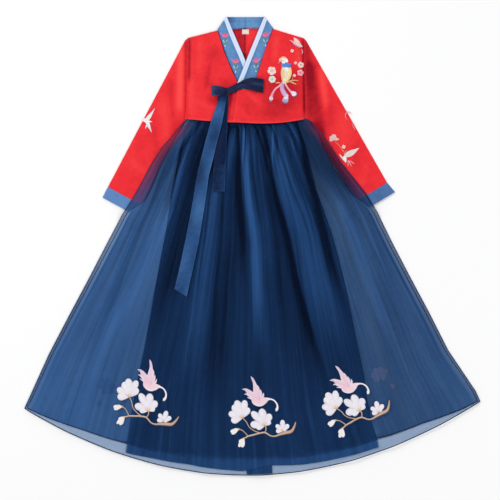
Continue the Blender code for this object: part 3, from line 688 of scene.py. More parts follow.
def organza(name):
    finish = Finish(name, 0.45, gloss=0.04, alpha=ORGANZA_ALPHA)
    uneven = finish.scaled(finish.sum(finish.patches(0.06), finish.patches(0.012)), 0.12)
    # Painted light and shade of fine folds
    folds = finish.sum(finish.painted_fold_shade(count=150, length=3.0), finish.painted_fold_shade(count=60, length=5.0))
    uneven = finish.sum(uneven, finish.scaled(folds, 0.5))
    tone = finish.sum(finish.scaled(finish.mark("tone"), 0.5, 0.5), uneven)
    dyed = finish.ramp(tone, [(0.0, dye(*NAVY_DARK)), (0.5, dye(*NAVY)), (1.0, dye(*NAVY_LIGHT))])
    pale = finish.toward(dyed, dye(*OVER_TABLE), finish.mark("glow"))
    finish.colour(finish.toward(pale, dye(*OVER_SLEEVE_RED), finish.mark("painted_sleeve_red")))
    finish.relief(finish.weave(0.0009), WEAVE_DEPTH / 2)
    return finish.material


ORGANZA_BACK_LIFT = 0.5

place, part = skirt_grid(160, 121)
x, y = skirt_point(place, part)
lining_end = above_hem(part, column_of(HEM_GAPS, part, 1) + 4)
# Painted light: past the lining's end, over the table, it glows pale
marks = {"tone": -0.3, "glow": smooth((place - lining_end) / 0.1), "across": part, "down": place}
ripple = 0.25 * np.sin(part * 90 + 3 * np.sin(place)) * smooth(place / 3)
z = skirt_rest(x, y) + ORGANZA_BACK_LIFT + ripple
organza_cloth = organza("sheer_navy_organza")
overlay_back = cloth("organza_back", np.stack([x, y, z], axis=-1), 0, organza_cloth, **marks)
overlay_back.visible_shadow = False
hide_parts("skirt_overlay_back")

LINING_WALL = 0.5
LINING_HEM_RADIUS = 1.0
LINING_SEAM_RADIUS = 0.8
EDGE_LIFT = 0.2

navy_edge = woven("rolled_edge_navy", (2, 12, 32), (14, 36, 72), (34, 66, 108), 0.5, gloss=0.05)
for side, lift, base_tone in (("back", 2.1, -0.2), ("front", 3.7, 0.0)):
    place, part = skirt_grid(120, 111, LINING_INSETS)
    place = place / LAST * lining_hem(part)
    x, y = skirt_point(place, part)
    wander = 0.5 * np.sin(part * 60 + 2.2 * place) + 0.35 * np.sin(part * 131 - 1.7 * place)
    z = skirt_rest(x, y) + lift + 0.4 * wander * smooth(place / 4)
    from_seam = np.minimum(part, 1 - part) * skirt_width(place) - SIDE_SEAM
    seam_tone = 0.7 * eased(from_seam, 0, -2) - 1.8 * ridge(from_seam, 1.8)
    # Painted light and shade: lighter where it rises, a darker line at each side seam and lighter past it,
    # painted shade where it lies over the sleeves, the gathers' light and shade, and soft bands that fade out
    # towards the hem
    tone = base_tone + 0.2 * wander * smooth(place / 5) + seam_tone * eased(place, 8, 9)
    tone -= (0.7 + 0.6 * part) * eased(place, 8.6, 5)  # where it lies over the sleeves
    tone += 0.6 * gathers(place, part + 0.013)
    tone += 0.3 * np.sin(part * 37 + 1.5) * eased(place, 13.5, 10.5)
    top = np.stack([x, y, z], axis=-1)
    marks = {"tone": tone, "across": part + 0.3, "down": place}
    lining = cloth("lining_sheet_" + side, top, LINING_WALL, lining_cloth, **marks)
    raised = top + (0, 0, EDGE_LIFT)
    hem = rolled_edge("skirt_lining_hem_" + side, raised[-1], LINING_HEM_RADIUS, -0.4)
    seams = [
        rolled_edge(f"skirt_lining_seam_{side}_{end}", raised[:, column], LINING_SEAM_RADIUS, 0.3)
        for end, column in (("left", 0), ("right", -1))
    ]
    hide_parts("skirt_lining_" + side)

# ------------------------------------------------------------------ the skirt's inner front panel
# Under the sheer front hangs a second, denser panel of navy organza with straight sides, gathered into
# the same waist. It darkens the middle of the skirt, and stops a little above the outer hem.

InnerEdge = namedtuple("InnerEdge", "y left_x right_x")
INNER_EDGES = [
    InnerEdge(-500, -304, 306),
    InnerEdge(-350, -281, 277),
    InnerEdge(-250, -260, 255),
    InnerEdge(-140, -240, 234),
    InnerEdge(-50, -224, 212),
    InnerEdge(40, -206, 186),
    InnerEdge(126, -194, 156),
    InnerEdge(236, -172, 128),
    InnerEdge(290, -140, 109),
    InnerEdge(345, -124, 96),
]
INNER_Z = 5.2
INNER_WALL = 0.4
INNER_EDGE_RADIUS = 0.8
# The panel's lower edge is in two lengths, which lap over each other here
OVERLAP_X = (-14.0, 48.0)
OVERLAP_WALL = 0.3
OVERLAP_DROP = 0.6

# A pleat of the gathered front: the per cent of the skirt's width at which it lies on each row of
# PLEAT_ROWS, its half-widths to its left and right in per cent, its tone of painted light or shade, and where
# it begins and ends
PLEAT_ROWS = (3, 5, 7, 9, 11, 13)
Pleat = namedtuple("Pleat", "path left right tone begins ends")
PLEATS = [
    Pleat((4.5, 9.5, 12.6, 13.0, 13.0, 13.0), 1.6, 1.0, 0.60, 3.0, 7.5),
    Pleat((3.2, 11.4, 13.9, 14.3, 14.5, 15.0), 1.5, 0.6, -0.90, 3.2, 9.5),
    Pleat((9.0, 13.8, 15.2, 15.6, 15.0, 14.0), 0.6, 1.2, 0.55, 3.2, 9.0),
    Pleat((3.0, 5.5, 7.5, 8.5, 7.0, 5.0), 0.7, 0.5, -0.40, 4.5, 11.5),
    Pleat((2.0, 4.0, 5.0, 5.6, 4.5, 3.5), 0.6, 0.5, -0.35, 6.0, 12.0),
    Pleat((17.0, 17.0, 17.0, 16.6, 13.0, 8.0), 2.6, 0.8, 0.45, 8.0, 13.0),
    Pleat((14.0, 14.5, 15.0, 14.6, 11.0, 7.0), 0.5, 0.8, -0.35, 8.0, 12.6),
    Pleat((11.0, 11.5, 12.0, 12.0, 9.0, 6.0), 0.6, 0.6, -0.25, 8.5, 12.6),
    Pleat((18.5, 22.0, 23.8, 24.4, 23.6, 22.5), 5.0, 2.6, -0.65, 3.2, 12.0),
    Pleat((33.8, 31.6, 30.6, 30.0, 30.0, 30.0), 3.6, 3.0, -0.80, 2.2, 6.8),
    Pleat((39.6, 38.8, 39.5, 40.0, 40.0, 40.0), 2.0, 1.8, 0.65, 3.2, 6.9),
    Pleat((35.0, 35.0, 35.0, 34.6, 34.4, 34.4), 3.6, 2.6, 0.48, 6.2, 13.0),
    Pleat((38.6, 38.4, 38.2, 38.4, 38.8, 39.0), 0.5, 1.0, -0.45, 6.8, 12.4),
    Pleat((51.6, 53.0, 54.0, 55.0, 56.0, 56.6), 0.4, 0.6, -0.45, 2.6, 9.0),
    Pleat((67.0, 70.4, 72.0, 72.6, 74.0, 75.4), 0.4, 0.7, -0.35, 3.4, 10.0),
    Pleat((31.6, 31.6, 31.8, 32.6, 33.0, 33.4), 0.4, 0.4, -0.35, 6.5, 11.5),
    Pleat((43.2, 45.4, 47.1, 47.9, 48.4, 49.0), 2.0, 0.5, -1.10, 2.4, 10.6),
    Pleat((43.0, 44.2, 44.8, 44.6, 41.4, 41.0), 3.6, 2.6, -0.45, 4.8, 13.6),
    Pleat((47.2, 48.8, 50.2, 51.6, 53.0, 53.6), 1.6, 2.4, 0.85, 3.0, 12.2),
    Pleat((48.0, 50.0, 50.9, 52.0, 53.6, 54.0), 0.4, 0.6, 0.35, 4.5, 11.0),
    Pleat((54.4, 54.6, 55.4, 56.6, 57.2, 57.4), 2.4, 1.8, 0.25, 3.0, 10.5),
    Pleat((58.0, 61.4, 63.0, 63.4, 64.0, 65.0), 1.4, 0.6, -0.90, 2.4, 6.6),
    Pleat((58.4, 59.0, 59.5, 60.0, 60.0, 60.4), 1.2, 2.0, -0.40, 4.8, 12.4),
    Pleat((62.6, 63.9, 64.2, 64.4, 64.4, 64.4), 2.4, 0.5, -1.15, 2.4, 6.2),
    Pleat((70.2, 65.6, 63.0, 63.0, 63.0, 63.0), 0.9, 0.5, 0.85, 2.6, 6.4),
    Pleat((72.4, 68.4, 66.2, 66.0, 66.0, 66.0), 0.8, 1.0, -0.55, 3.0, 5.8),
    Pleat((64.0, 64.2, 63.2, 64.9, 68.6, 71.0), 1.8, 0.6, -0.85, 5.6, 13.2),
    Pleat((63.0, 63.0, 62.4, 63.8, 66.6, 68.4), 4.0, 2.4, -0.28, 6.4, 13.6),
    Pleat((73.4, 71.6, 69.4, 71.2, 73.6, 75.0), 3.6, 5.2, 0.58, 2.6, 12.4),
    Pleat((76.4, 77.0, 76.4, 76.8, 78.4, 79.0), 0.5, 0.6, -0.40, 3.6, 11.0),
    Pleat((81.6, 79.0, 76.0, 75.0, 76.0, 77.0), 0.8, 0.6, 0.40, 2.6, 6.4),
    Pleat((90.6, 84.8, 80.6, 79.2, 79.8, 80.6), 2.2, 0.9, -0.95, 2.4, 11.6),
    Pleat((91.0, 86.0, 82.2, 80.6, 80.8, 81.0), 1.4, 2.6, -0.45, 2.4, 9.0),
    Pleat((94.0, 90.4, 87.4, 88.2, 88.0, 88.0), 3.2, 3.2, 0.30, 3.2, 12.6),
    Pleat((87.0, 86.0, 84.2, 85.4, 86.4, 87.0), 0.4, 0.6, -0.60, 5.2, 11.4),
    Pleat((91.0, 91.0, 90.4, 92.6, 94.6, 95.0), 0.4, 0.5, -0.45, 7.2, 11.4),
    Pleat((88.5, 88.0, 87.6, 89.0, 90.4, 92.0), 0.4, 0.7, 0.35, 6.0, 11.0),
]


def pleat_tone(place, part):
    """Painted light on the pleats' crests and painted shade in their troughs, from -1 to 1."""
    tone = np.zeros(np.broadcast(place, part).shape)
    row = np.clip(place, PLEAT_ROWS[0] - 1, PLEAT_ROWS[-1] + 0.5)
    for pleat in PLEATS:
        centre = np.polyval(np.polyfit(PLEAT_ROWS, pleat.path, 3), row)
        aside = 100 * part - centre
        size = np.where(aside < 0, pleat.left, pleat.right)
        fade_in = eased(place, pleat.begins - 0.6, pleat.begins + 0.6)
        fade_out = eased(place, pleat.ends, pleat.ends - 2.2)
        tone += pleat.tone * fade_in * fade_out * np.exp(-np.abs(aside / size) ** 2.8)
    return tone


inner_cloth = woven(
    "inner_navy_organza", NAVY_DARK, NAVY, (44, 86, 142), 0.5, gloss=0.04, mottle=0.16, gathered=0.5
)


def panel_end(place, side):
    """The part of the skirt's width at which the inner panel ends on a row."""
    edges = np.array(INNER_EDGES, float)
    left_x, _, right_x, _, _ = columns_at(SKIRT, place)
    end = np.full_like(left_x, 0.5)
    for _ in range(14):
        y = skirt_point(place, end)[1]
        end = (np.interp(y, edges[:, 0], edges[:, side]) - left_x) / (right_x - left_x)
    return end


place = np.linspace(0, LAST, 190)[:, None]
left_end, right_end = panel_end(place, 1), panel_end(place, 2)
part = left_end + (right_end - left_end) * np.linspace(0, 1, 161)
place = place / LAST * panel_hem(part)
x, y = skirt_point(place, part)
# Painted light and shade of the pleats and gathers, lighter near the hem, and painted light past the lining's
# end, where only the table lies under it
past_lining = eased(place - lining_hem(part), 0, 0.08)
tone = pleat_tone(place, part) + 0.5 * gathers(place, part) + 0.12 * eased(place, 12, 13.5)
tone += (0.35 + 0.4 * part) * past_lining
z = skirt_rest(x, y) + INNER_Z + 0.25 * tone
top = np.stack([x, y, z], axis=-1)
marks = {"tone": tone, "across": part + 0.7, "down": place}
inner = cloth("inner_panel", top, INNER_WALL, inner_cloth, **marks)
inner_edges = [
    rolled_edge("skirt_inner_edge_" + end, line, INNER_EDGE_RADIUS, -0.3)
    for end, line in (("hem", top[-1]), ("left", top[:, 0]), ("right", top[:, -1]))
]

hem_row = SKIRT[-1]
part = (np.linspace(*OVERLAP_X, 25) - hem_row.left_x) / (hem_row.right_x - hem_row.left_x)
place = np.linspace(LAST - 1.2, LAST - 0.06, 15)[:, None]
x, y = skirt_point(place, part)
z = skirt_rest(x, y) + INNER_Z - OVERLAP_DROP
marks = {"tone": -0.1, "across": part, "down": place}
inner_end = cloth("skirt_inner_overlap", np.stack([x, y, z], axis=-1), OVERLAP_WALL, inner_cloth, **marks)
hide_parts("skirt_inner_front")

# ------------------------------------------------------------------ the skirt's sheer front
# A wide piece of navy organza gathered into the waist, so that it falls in soft pleats which open out
# to the hem. Its sides are seamed to the back one, and its hem is a thin rolled one.

OVERLAY_Z = 6.7
OVERLAY_HEM_Z = 5.6
OVERLAY_HEM_RADIUS = 1.2
OVERLAY_SEAM_RADIUS = 0.9
OVERLAY_SEAM_DROP = 0.4
OVERLAY_SEAM_START = 40

# How high the front lies above the floor, by how far it is from its side
Stack = namedtuple("Stack", "edge height")
OVERLAY_STACK = [Stack(0, 1.8), Stack(5, 3.4), Stack(11, 5.2), Stack(14, 5.6), Stack(26, OVERLAY_Z)]

# A broad fold: where it lies at the waist and at the hem, its half-widths there, and its height
SkirtFold = namedtuple("SkirtFold", "waist hem waist_half hem_half height")
SKIRT_FOLDS = [
    SkirtFold(0.06, 0.09, 6, 30, 3.5),
    SkirtFold(0.15, 0.19, 7, 32, 4.5),
    SkirtFold(0.25, 0.30, 7, 28, 5.0),
    SkirtFold(0.33, 0.40, 7, 30, 6.0),
    SkirtFold(0.50, 0.52, 8, 28, 7.5),
    SkirtFold(0.62, 0.60, 6, 26, 5.0),
    SkirtFold(0.73, 0.72, 8, 32, 7.0),
    SkirtFold(0.84, 0.81, 7, 30, 5.5),
    SkirtFold(0.94, 0.91, 6, 30, 3.5),
]

# How much of their height the folds have, by the skirt's rows
Growth = namedtuple("Growth", "row share")
FOLD_GROWTH = [
    Growth(0, 0.05),
    Growth(2, 0.08),
    Growth(3, 0.3),
    Growth(5, 0.7),
    Growth(8, 1),
    Growth(14, 1),
    Growth(15, 0.75),
]


def overlay_z(place, part):
    """Height of the sheer front at a row and a part of the skirt."""
    x, y = skirt_point(place, part)
    width = skirt_width(place)
    edge = np.minimum(part, 1 - part) * width
    stack = column_of(OVERLAY_STACK, edge, 1)
    hem = np.interp(place, (14, 15), (OVERLAY_Z, OVERLAY_HEM_Z))
    grown = column_of(FOLD_GROWTH, place, 1)
    folds = np.zeros(np.shape(x))
    for fold in SKIRT_FOLDS:
        centre = fold.waist + (fold.hem - fold.waist) * place / LAST
        half = fold.waist_half + (fold.hem_half - fold.waist_half) * place / LAST
        folds += fold.height * ridge((part - centre) * width, half)
    fine = 0.9 * np.clip(pleat_tone(place, part), -0.8, 1) + 1.1 * np.clip(gathers(place, part), -0.7, 1.2)
    raised = 0.8 * folds * grown + fine * eased(place, 1.6, 3.2)
    return skirt_rest(x, y) + np.minimum(stack, hem) + raised * smooth(edge / 40)


def within(value, start, end, edge):
    """1 between two places and 0 outside, eased over an edge's width at both."""
    return smooth((value - start) / edge + 0.5) * smooth((end - value) / edge + 0.5)


place, part = skirt_grid(230, 380)
x, y = skirt_point(place, part)
z = overlay_z(place, part)
edge = np.minimum(part, 1 - part) * skirt_width(place)
in_panel = within(part, panel_end(place, 1), panel_end(place, 2), 1 / 250)
at_side = 1 - eased(edge - SIDE_SEAM, -3, 1)
below_lining = place - lining_hem(part)
past_lining = eased(below_lining, 0.04, 0.1)
past_panel = eased(place - panel_hem(part), 0, 0.06)
at_overlap = within(x, *OVERLAP_X, 2)

# Painted light and shade of pleats and gathers, then painted shade under the jacket's hem and of what is
# gathered under the waist
tone = pleat_tone(place, part) + 0.7 * gathers(place, part) + 0.12 * eased(place, 12, 13.5)
tone -= 1.8 * np.exp(-(np.maximum(jacket_hem_y(x) - y, 0) / 4.0))
tone -= 0.5 * eased(place, 3.6, 2.2) + 0.25 * eased(place, 4.6, 3)
# Beside the panel it is lighter over the lining, and darker where it leaves the sleeves
beside = (0.45 - 0.25 * part) * eased(place, 6, 9) - (0.1 + part) * eased(place, 8.8, 5.2)
beside -= 0.35 * ridge(part - 0.845, 0.05) * eased(place, 4, 6)
beside -= 0.9 * ridge(below_lining, 0.05)
tone += (1 - in_panel) * beside
# Over the panel, painted light past the lining's end, where only the table lies under it
tone += in_panel * ((0.3 + 0.4 * part) * past_lining - 0.22 * eased(place, 3, 5))
tone += 0.25 * eased(part, 0.25, 0.15) * eased(place, 5, 7)

# Over the white table alone it glows: past the layers under it, and a little outside the side seams
glow = past_lining * (1 - in_panel) + past_panel * in_panel * (1 - at_overlap)
side_glow = 0.1 + (0.45 - 0.3 * part) * eased(place, 12, 9.6)
glow = np.maximum(glow, at_side * side_glow * eased(place, 8.5, 8.9))
# Painted red light from the sleeves under it, near the skirt's sides
over_sleeve = eased(place, 2.6, 3.8) * eased(place, 8.7, 6.1)
painted_sleeve_red = over_sleeve * np.interp(place, (4, 6), (0.66, 0.34)) * (1 - 0.4 * part) * ridge(edge, 13)

top = np.stack([x, y, z], axis=-1)
marks = {"tone": tone, "glow": glow, "painted_sleeve_red": painted_sleeve_red, "across": part, "down": place}
overlay = cloth("organza_front", top, 0, organza_cloth, **marks)
overlay.visible_shadow = False
trims = [rolled_edge("skirt_hem", top[-1], OVERLAY_HEM_RADIUS, 0.0)]
for end, column in (("left", 0), ("right", -1)):
    seam = top[OVERLAY_SEAM_START:, column] - (0, 0, OVERLAY_SEAM_DROP)
    trims.append(rolled_edge("skirt_side_seam_" + end, seam, OVERLAY_SEAM_RADIUS, 0.4))
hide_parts("skirt_overlay_front")

# ------------------------------------------------------------------ the skirt's embroidery
# Three like motifs in satin stitch above the hem, each a pink crane over a magnolia branch, turned to
# follow the skirt's spread. The stitches are raised in the middle of each shape and run across it.

THREAD_LIFT = 0.35
THREAD_SWELL = 0.5
LAYER_LIFT = 0.02
FULL_HALF = 8.0  # a shape of this half-width or more swells in full
STITCH_DEPTH = 0.00012  # metres
WHITE = (252, 252, 255)
PALE = (238, 228, 240)
LILAC = (196, 190, 222)
CREAM = (250, 238, 228)
PINK = (246, 208, 222)
ROSE = (250, 226, 232)
MAUVE = (190, 158, 204)
BARK = (206, 172, 148)
BARK_DARK = (122, 92, 80)
GOLD = (226, 186, 128)


def satin_stitch():
    """Thread in the colours marked at its points, with a relief of stitches side by side."""
    finish = Finish("satin_stitch", 0.42, sheen=0.2)
    finish.colour(finish.add("Attribute", {"attribute_name": "thread"}).outputs["Color"])
    stitches = finish.add("Math", {"operation": "SINE"}, A=finish.mark("stitch")).outputs[0]
    finish.relief(finish.sum(stitches, finish.patches(0.0015)), STITCH_DEPTH)
    return finish.material


thread = satin_stitch()


def through(points, count):
    """A smooth curve through stations of any number of values, as evenly stepped points."""
    points = np.asarray(points, float)
    padded = np.concatenate([2 * points[:1] - points[1:2], points, 2 * points[-1:] - points[-2:-1]])
    step = np.linspace(0, len(points) - 1, count)
    number = np.minimum(step.astype(int), len(points) - 2)
    t = (step - number)[:, None]
    before, here, after, beyond = (padded[number + shift] for shift in range(4))
    return 0.5 * (
        2 * here
        + (after - before) * t
        + (2 * before - 5 * here + 4 * after - beyond) * t**2
        + (3 * here - before - 3 * after + beyond) * t**3
    )


class Embroidery:
    """Satin-stitched shapes in one mesh, each laid a little over the one before."""

    ACROSS = 9
    STITCH = 0.9  # mm between threads

    def __init__(self):
        self.plan, self.lift, self.colours, self.stitches, self.faces = [], [], [], [], []
        self.turn, self.place = 0.0, np.zeros(2)
        self.count = 0  # of points
        self.order = 0  # of shapes

    def at(self, x, y, degrees=0.0):
        """Where the next shapes' own origin lies, and how far they are turned."""
        self.place, self.turn = np.array([x, y], float), math.radians(degrees)
        return self

    def shape(self, stations, start, end=None, raised=1.0, rim=None):
        """A shape through stations of x, y and half-width, from one thread colour to another.

        Its two long edges turn towards the rim's colour, where it has one.
        """
        stations = np.array(stations, float)
        length = np.linalg.norm(np.diff(stations[:, :2], axis=0), axis=1).sum()
        line = through(stations, int(np.clip(length / 1.1, 9, 60)))
        along = np.gradient(line[:, :2], axis=0)
        along /= np.linalg.norm(along, axis=1, keepdims=True)
        aside = np.stack([-along[:, 1], along[:, 0]], axis=-1)
        t = np.linspace(-1, 1, self.ACROSS)
        uneven = 1 + 0.05 * (-1.0) ** np.arange(len(line))
        half = (np.maximum(line[:, 2], 0.15) * uneven)[:, None, None]
        plan = line[:, None, :2] + aside[:, None] * half * t[None, :, None]
        cos, sin = math.cos(self.turn), math.sin(self.turn)
        plan = plan @ np.array([[cos, sin], [-sin, cos]]) + self.place
        index = self.count + np.arange(plan.shape[0] * self.ACROSS).reshape(plan.shape[:2])
        self.count += index.size
        self.order += 1
        share = np.linspace(0, 1, len(line))[:, None, None]
        colour = np.array(dye(*start)) + (np.array(dye(*(end or start))) - dye(*start)) * share
        if rim:
            colour = colour + (np.array(dye(*rim)) - colour) * 0.8 * (np.abs(t) ** 4)[None, :, None]
        broad = np.minimum(half[..., 0], FULL_HALF) / FULL_HALF
        dome = (1 - t[None, :] ** 2) ** 0.7 * broad * raised + 1 - broad
        self.plan.append(plan.reshape(-1, 2))
        self.lift.append((THREAD_LIFT + LAYER_LIFT * self.order + THREAD_SWELL * dome).ravel())
        self.colours.append(np.broadcast_to(colour, (*plan.shape[:2], 3)).reshape(-1, 3))
        slant = np.linspace(0, length, len(line))[:, None] + 0.5 * np.abs(t)[None, :] * half[..., 0]
        self.stitches.append((slant * 2 * math.pi / self.STITCH).ravel())
        self.faces.append(grid_faces(index[:, ::-1]))
        return self

    def petal(self, base, tip, half, start, end, rim=None):
        """A petal that is widest past its middle, from its base to its tip."""
        base, tip = np.array(base, float), np.array(tip, float)
        widths = ((0, 0.22), (0.25, 0.62), (0.5, 0.93), (0.75, 1.0), (0.93, 0.66), (1.0, 0.25))
        stations = [(*(base + (tip - base) * share), half * width) for share, width in widths]
        return self.shape(stations, start, end, rim=rim)

    def blossom(self, x, y, radius, start, end, centre, petals=5, first=0.3):
        """Petals round a centre, the first of them at an angle in radians."""
        for number in range(petals):
            angle = first + 2 * math.pi * number / petals
            tip = (x + radius * math.cos(angle), y + radius * math.sin(angle))
            self.petal((x, y), tip, radius * 0.46, start, end, rim=start)
        return self.dot(x, y, radius * 0.26, centre)

    def dot(self, x, y, radius, colour):
        widths = ((-1, 0.25), (-0.5, 0.87), (0, 1), (0.5, 0.87), (1, 0.25))
        stations = [(x + radius * shift, y, radius * width) for shift, width in widths]
        return self.shape(stations, colour)

    def sewn_on(self, name, surface):
        """The finished mesh, on the surface whose height that function gives."""
        plan = np.concatenate(self.plan)
        z = surface(plan[:, 0], plan[:, 1]) + np.concatenate(self.lift)
        points = np.column_stack([plan, z])
        marks = {"stitch": np.concatenate(self.stitches)}
        piece = build_mesh(name, points, np.concatenate(self.faces), thread, marks)
        colours = np.column_stack([np.concatenate(self.colours), np.ones(len(plan))])
        layer = piece.data.attributes.new("thread", "FLOAT_COLOR", "POINT")
        layer.data.foreach_set("color", colours.astype(np.float32).ravel())
        return piece


def skirt_place(x, y):
    """Fractional row and part of the width of the skirt at plan points, by halving."""
    low, high = np.zeros(np.shape(x)), np.full(np.shape(x), float(LAST))
    for _ in range(26):
        middle = (low + high) / 2
        left_x, _, right_x, _, _ = columns_at(SKIRT, middle)
        part = np.clip((x - left_x) / (right_x - left_x), 0, 1)
        above = skirt_point(middle, part)[1] > y
        low, high = np.where(above, middle, low), np.where(above, high, middle)
    return middle, part


def skirt_top(x, y):
    """Height of the sheer front at plan points."""
    return overlay_z(*skirt_place(x, y))


# Each open flower: where its petals meet, and the tip and half-width of each petal
MAGNOLIAS = [
    (
        (-37.9, 2.2),
        [(-70, 13, 8.5), (-64, -6, 9), (-60, 32, 9.5), (-52, 43, 9.5), (-31, 44, 8.5), (-22, 26, 8.5),
         (-45, 25, 10)],
    ),
    (
        (15.9, -15.8),
        [(-15, 17, 8.5), (-18, -13, 9), (-4, -22, 7), (8, 24, 9.5), (29, 11, 9), (29, -5, 7.5),
         (5, 5, 11)],
    ),
    (
        (58.6, -29.5),
        [(43, -15, 5.5), (43, -30, 5.5), (58.5, -3, 6), (73, -14, 6), (66, -24, 5), (57, -16, 6)],
    ),
]
MAGNOLIA_BUDS = [
    ((-46.1, -25.4), [(-66, -32, 4.5), (-63, -37, 4.5), (-58, -28, 4)]),
    ((-33.8, -47.5), [(-38, -69, 5), (-46, -68, 4.5), (-45, -58, 4.5)]),
]
# Each branch, wing and feather: points along it, with its half-width there
BRANCHES = [
    [(90, -8, 1.0), (86, -20, 2.4), (79, -30, 3.6), (66, -33.5, 3.6), (52, -38, 2.4), (41, -42, 1.7),
     (30, -41, 1.4), (16, -33, 1.7), (0, -35, 1.7), (-12, -38.5, 1.7), (-24, -42, 1.5), (-34, -48, 1.0)],
    [(-24, -42, 1.2), (-31, -34, 0.9), (-38, -28, 0.8), (-46, -25.5, 0.8)],
    [(5, -34, 1.3), (-10, -28, 1.0), (-21, -20, 0.9), (-28, -8, 0.8), (-37, 2, 0.9)],
    [(16, -33, 1.3), (19, -25, 1.1), (16.5, -15, 1.3)],
]
CRANE_WINGS = [
    [(2, 41, 9), (-9, 52, 8), (-20, 62, 6), (-29, 69, 3.2), (-38, 70.5, 0.5)],
    [(1, 42, 11), (-1, 56, 11), (-5, 72, 6.5), (-9, 86, 3.4), (-13, 95, 2.6), (-17, 101, 0.8)],
]
CRANE_FEATHERS = [
    [(-8, 50, 3), (-20, 55, 3.0), (-28, 59, 1.8), (-33, 58, 0.4)],
    [(-8, 46, 3), (-17, 49, 2.6), (-26, 51, 0.5)],
    [(4, 50, 3.6), (7, 60, 3.0), (6, 70, 0.5)],
    [(7, 46, 3.6), (12, 54, 2.8), (13, 62, 0.5)],
    [(0, 62, 3.2), (1, 72, 2.6), (-1, 80, 0.5)],
]
CRANE_BODY = [(-14, 48, 3), (-7, 43, 9), (4, 40.5, 11), (14, 43, 8.5), (23, 46.5, 3.8), (29, 46.5, 1.8)]
CRANE_NECK = [
    (21, 46, 3), (30, 46.5, 1.9), (38, 43.5, 1.6), (44.5, 36, 1.8), (46.5, 28, 2.2), (44.8, 21.5, 3.2),
    (43, 17.4, 0.9),
]
STAMEN_TURNS = (-0.9, 0.0, 0.9)


def magnolia_and_crane(motif):
    """A crane over a branch of magnolias, each thing over the one behind it."""
    # Under each branch goes a wider dark brown band, shifted down and to the right: a dark outline, and a
    # painted shadow on its lower side
    for branch in BRANCHES:
        below = [(x + 0.7, y - 1.1, half + 0.5) for x, y, half in branch]
        motif.shape(below, (84, 66, 66), (110, 88, 82), raised=0.6)
    for branch in BRANCHES:
        motif.shape(branch, BARK, (226, 204, 190), raised=1.6, rim=BARK_DARK)
    for base, buds in MAGNOLIA_BUDS:
        for x, y, half in buds:
            motif.petal(base, (x, y), half, CREAM, WHITE, rim=LILAC)
        motif.dot(*base, 2.4, GOLD)
    for base, petals in MAGNOLIAS:
        for x, y, half in petals:
            motif.petal(base, (x, y), half, PALE, WHITE, rim=LILAC)
        size = petals[0][2]
        for turn in STAMEN_TURNS:
            ahead = math.atan2(petals[-1][1] - base[1], petals[-1][0] - base[0]) + turn
            tip = (base[0] + size * math.cos(ahead), base[1] + size * math.sin(ahead))
            motif.petal((base[0], base[1] - 2), tip, size * 0.16, GOLD, (244, 214, 160))
        motif.dot(base[0], base[1], size * 0.28, GOLD)
    for feather in CRANE_FEATHERS:
        motif.shape(feather, ROSE, (238, 226, 244), rim=MAUVE)
    for wing in CRANE_WINGS:
        motif.shape(wing, PINK, (226, 204, 232), rim=(248, 240, 250))
        motif.shape([(x + 1.5, y, half * 0.3) for x, y, half in wing[:4]], (240, 190, 212), ROSE)
    motif.shape(CRANE_BODY, PINK, ROSE, rim=(250, 240, 246))
    motif.shape(CRANE_NECK, (248, 232, 244), WHITE)


MOTIF_PLACES = [
    ("left", -259.6, -374.6, -17.5),
    ("middle", 13.6, -413.8, 0.0),
    ("right", 237.9, -382.3, 13.0),
]
for side, x, y, degrees in MOTIF_PLACES:
    motif = Embroidery().at(x, y, degrees)
    magnolia_and_crane(motif)
    sewn = motif.sewn_on("crane_and_magnolia_" + side, skirt_top)

# The same flowers on the skirt's back show faintly through its layers at both sides
SEEN_LIFT = 4.3
SEEN_RIM = 14
SEEN_FLOWERS = [(306, -311, 30.0, (124, 142, 186)), (-352, -340, -40.0, (64, 98, 148))]
SEEN_PETALS = [(-20, 12, 7), (-6, 22, 7), (12, 19, 7), (22, 3, 6.5), (-19, -8, 7), (8, -14, 7)]


def above_lining(x, y):
    return skirt_rest(x, y) + SEEN_LIFT


seen = Embroidery()
for x, y, degrees, cool in SEEN_FLOWERS:
    rim = tuple(value + SEEN_RIM for value in cool)
    seen.at(x, y, degrees)
    for tip_x, tip_y, half in SEEN_PETALS:
        seen.petal((0, 0), (tip_x, tip_y), half, cool, cool, rim=rim)
    seen.petal((10, -30), (16, -44), 6, cool, cool, rim=rim)
seen.sewn_on("embroidery_seen_through", above_lining)

# ------------------------------------------------------------------ the jacket's fronts
# Two fronts of the red cloth, the wearer's left one lapped over the right. They lie over the back, the
# waistband and the top of the skirt, and turn down softly to the side seams. Hems are turned under.

FRONT_LEFT = [
    Row(-46.4, 296.6, 130.0, 303.6, 8),
    Row(-42, 325, 128.2, 332, 4),
    Row(-37.5, 352, 127.8, 358, 0),
    Row(-36.5, 371, 127.5, 380, 0),
    Row(0.4, 374.6, 127.2, 388, 0),
    Row(8.9, 398, 126.8, 410, 0),
    Row(17.9, 427, 126.4, 434, 0),
    Row(30, 466, 125.6, 460, 0),
    Row(41.5, 497, 124.8, 482, 0),
    Row(50.6, 519.2, 124, 497, 0),
]
FRONT_RIGHT = [
    Row(-161, 303.4, 30, 293.5, 3),
    Row(-158.6, 332, 30, 322, 0),
    Row(-158.2, 352, 27, 346, 0),
    Row(-157.8, 368, -25, 366.5, 0),
    Row(-157.4, 388, -34, 388, 0),
    Row(-156.8, 414, -46, 412, 0),
    Row(-156, 440, -58.8, 442, 0),
    Row(-155.2, 462, -69, 468, 0),
    Row(-154.4, 481, -76.3, 493, 0),
    Row(-154, 498, -84.2, 515.6, 0),
]
FRONT_FLOOR = 1.5
HEM_TURNING = 9.0

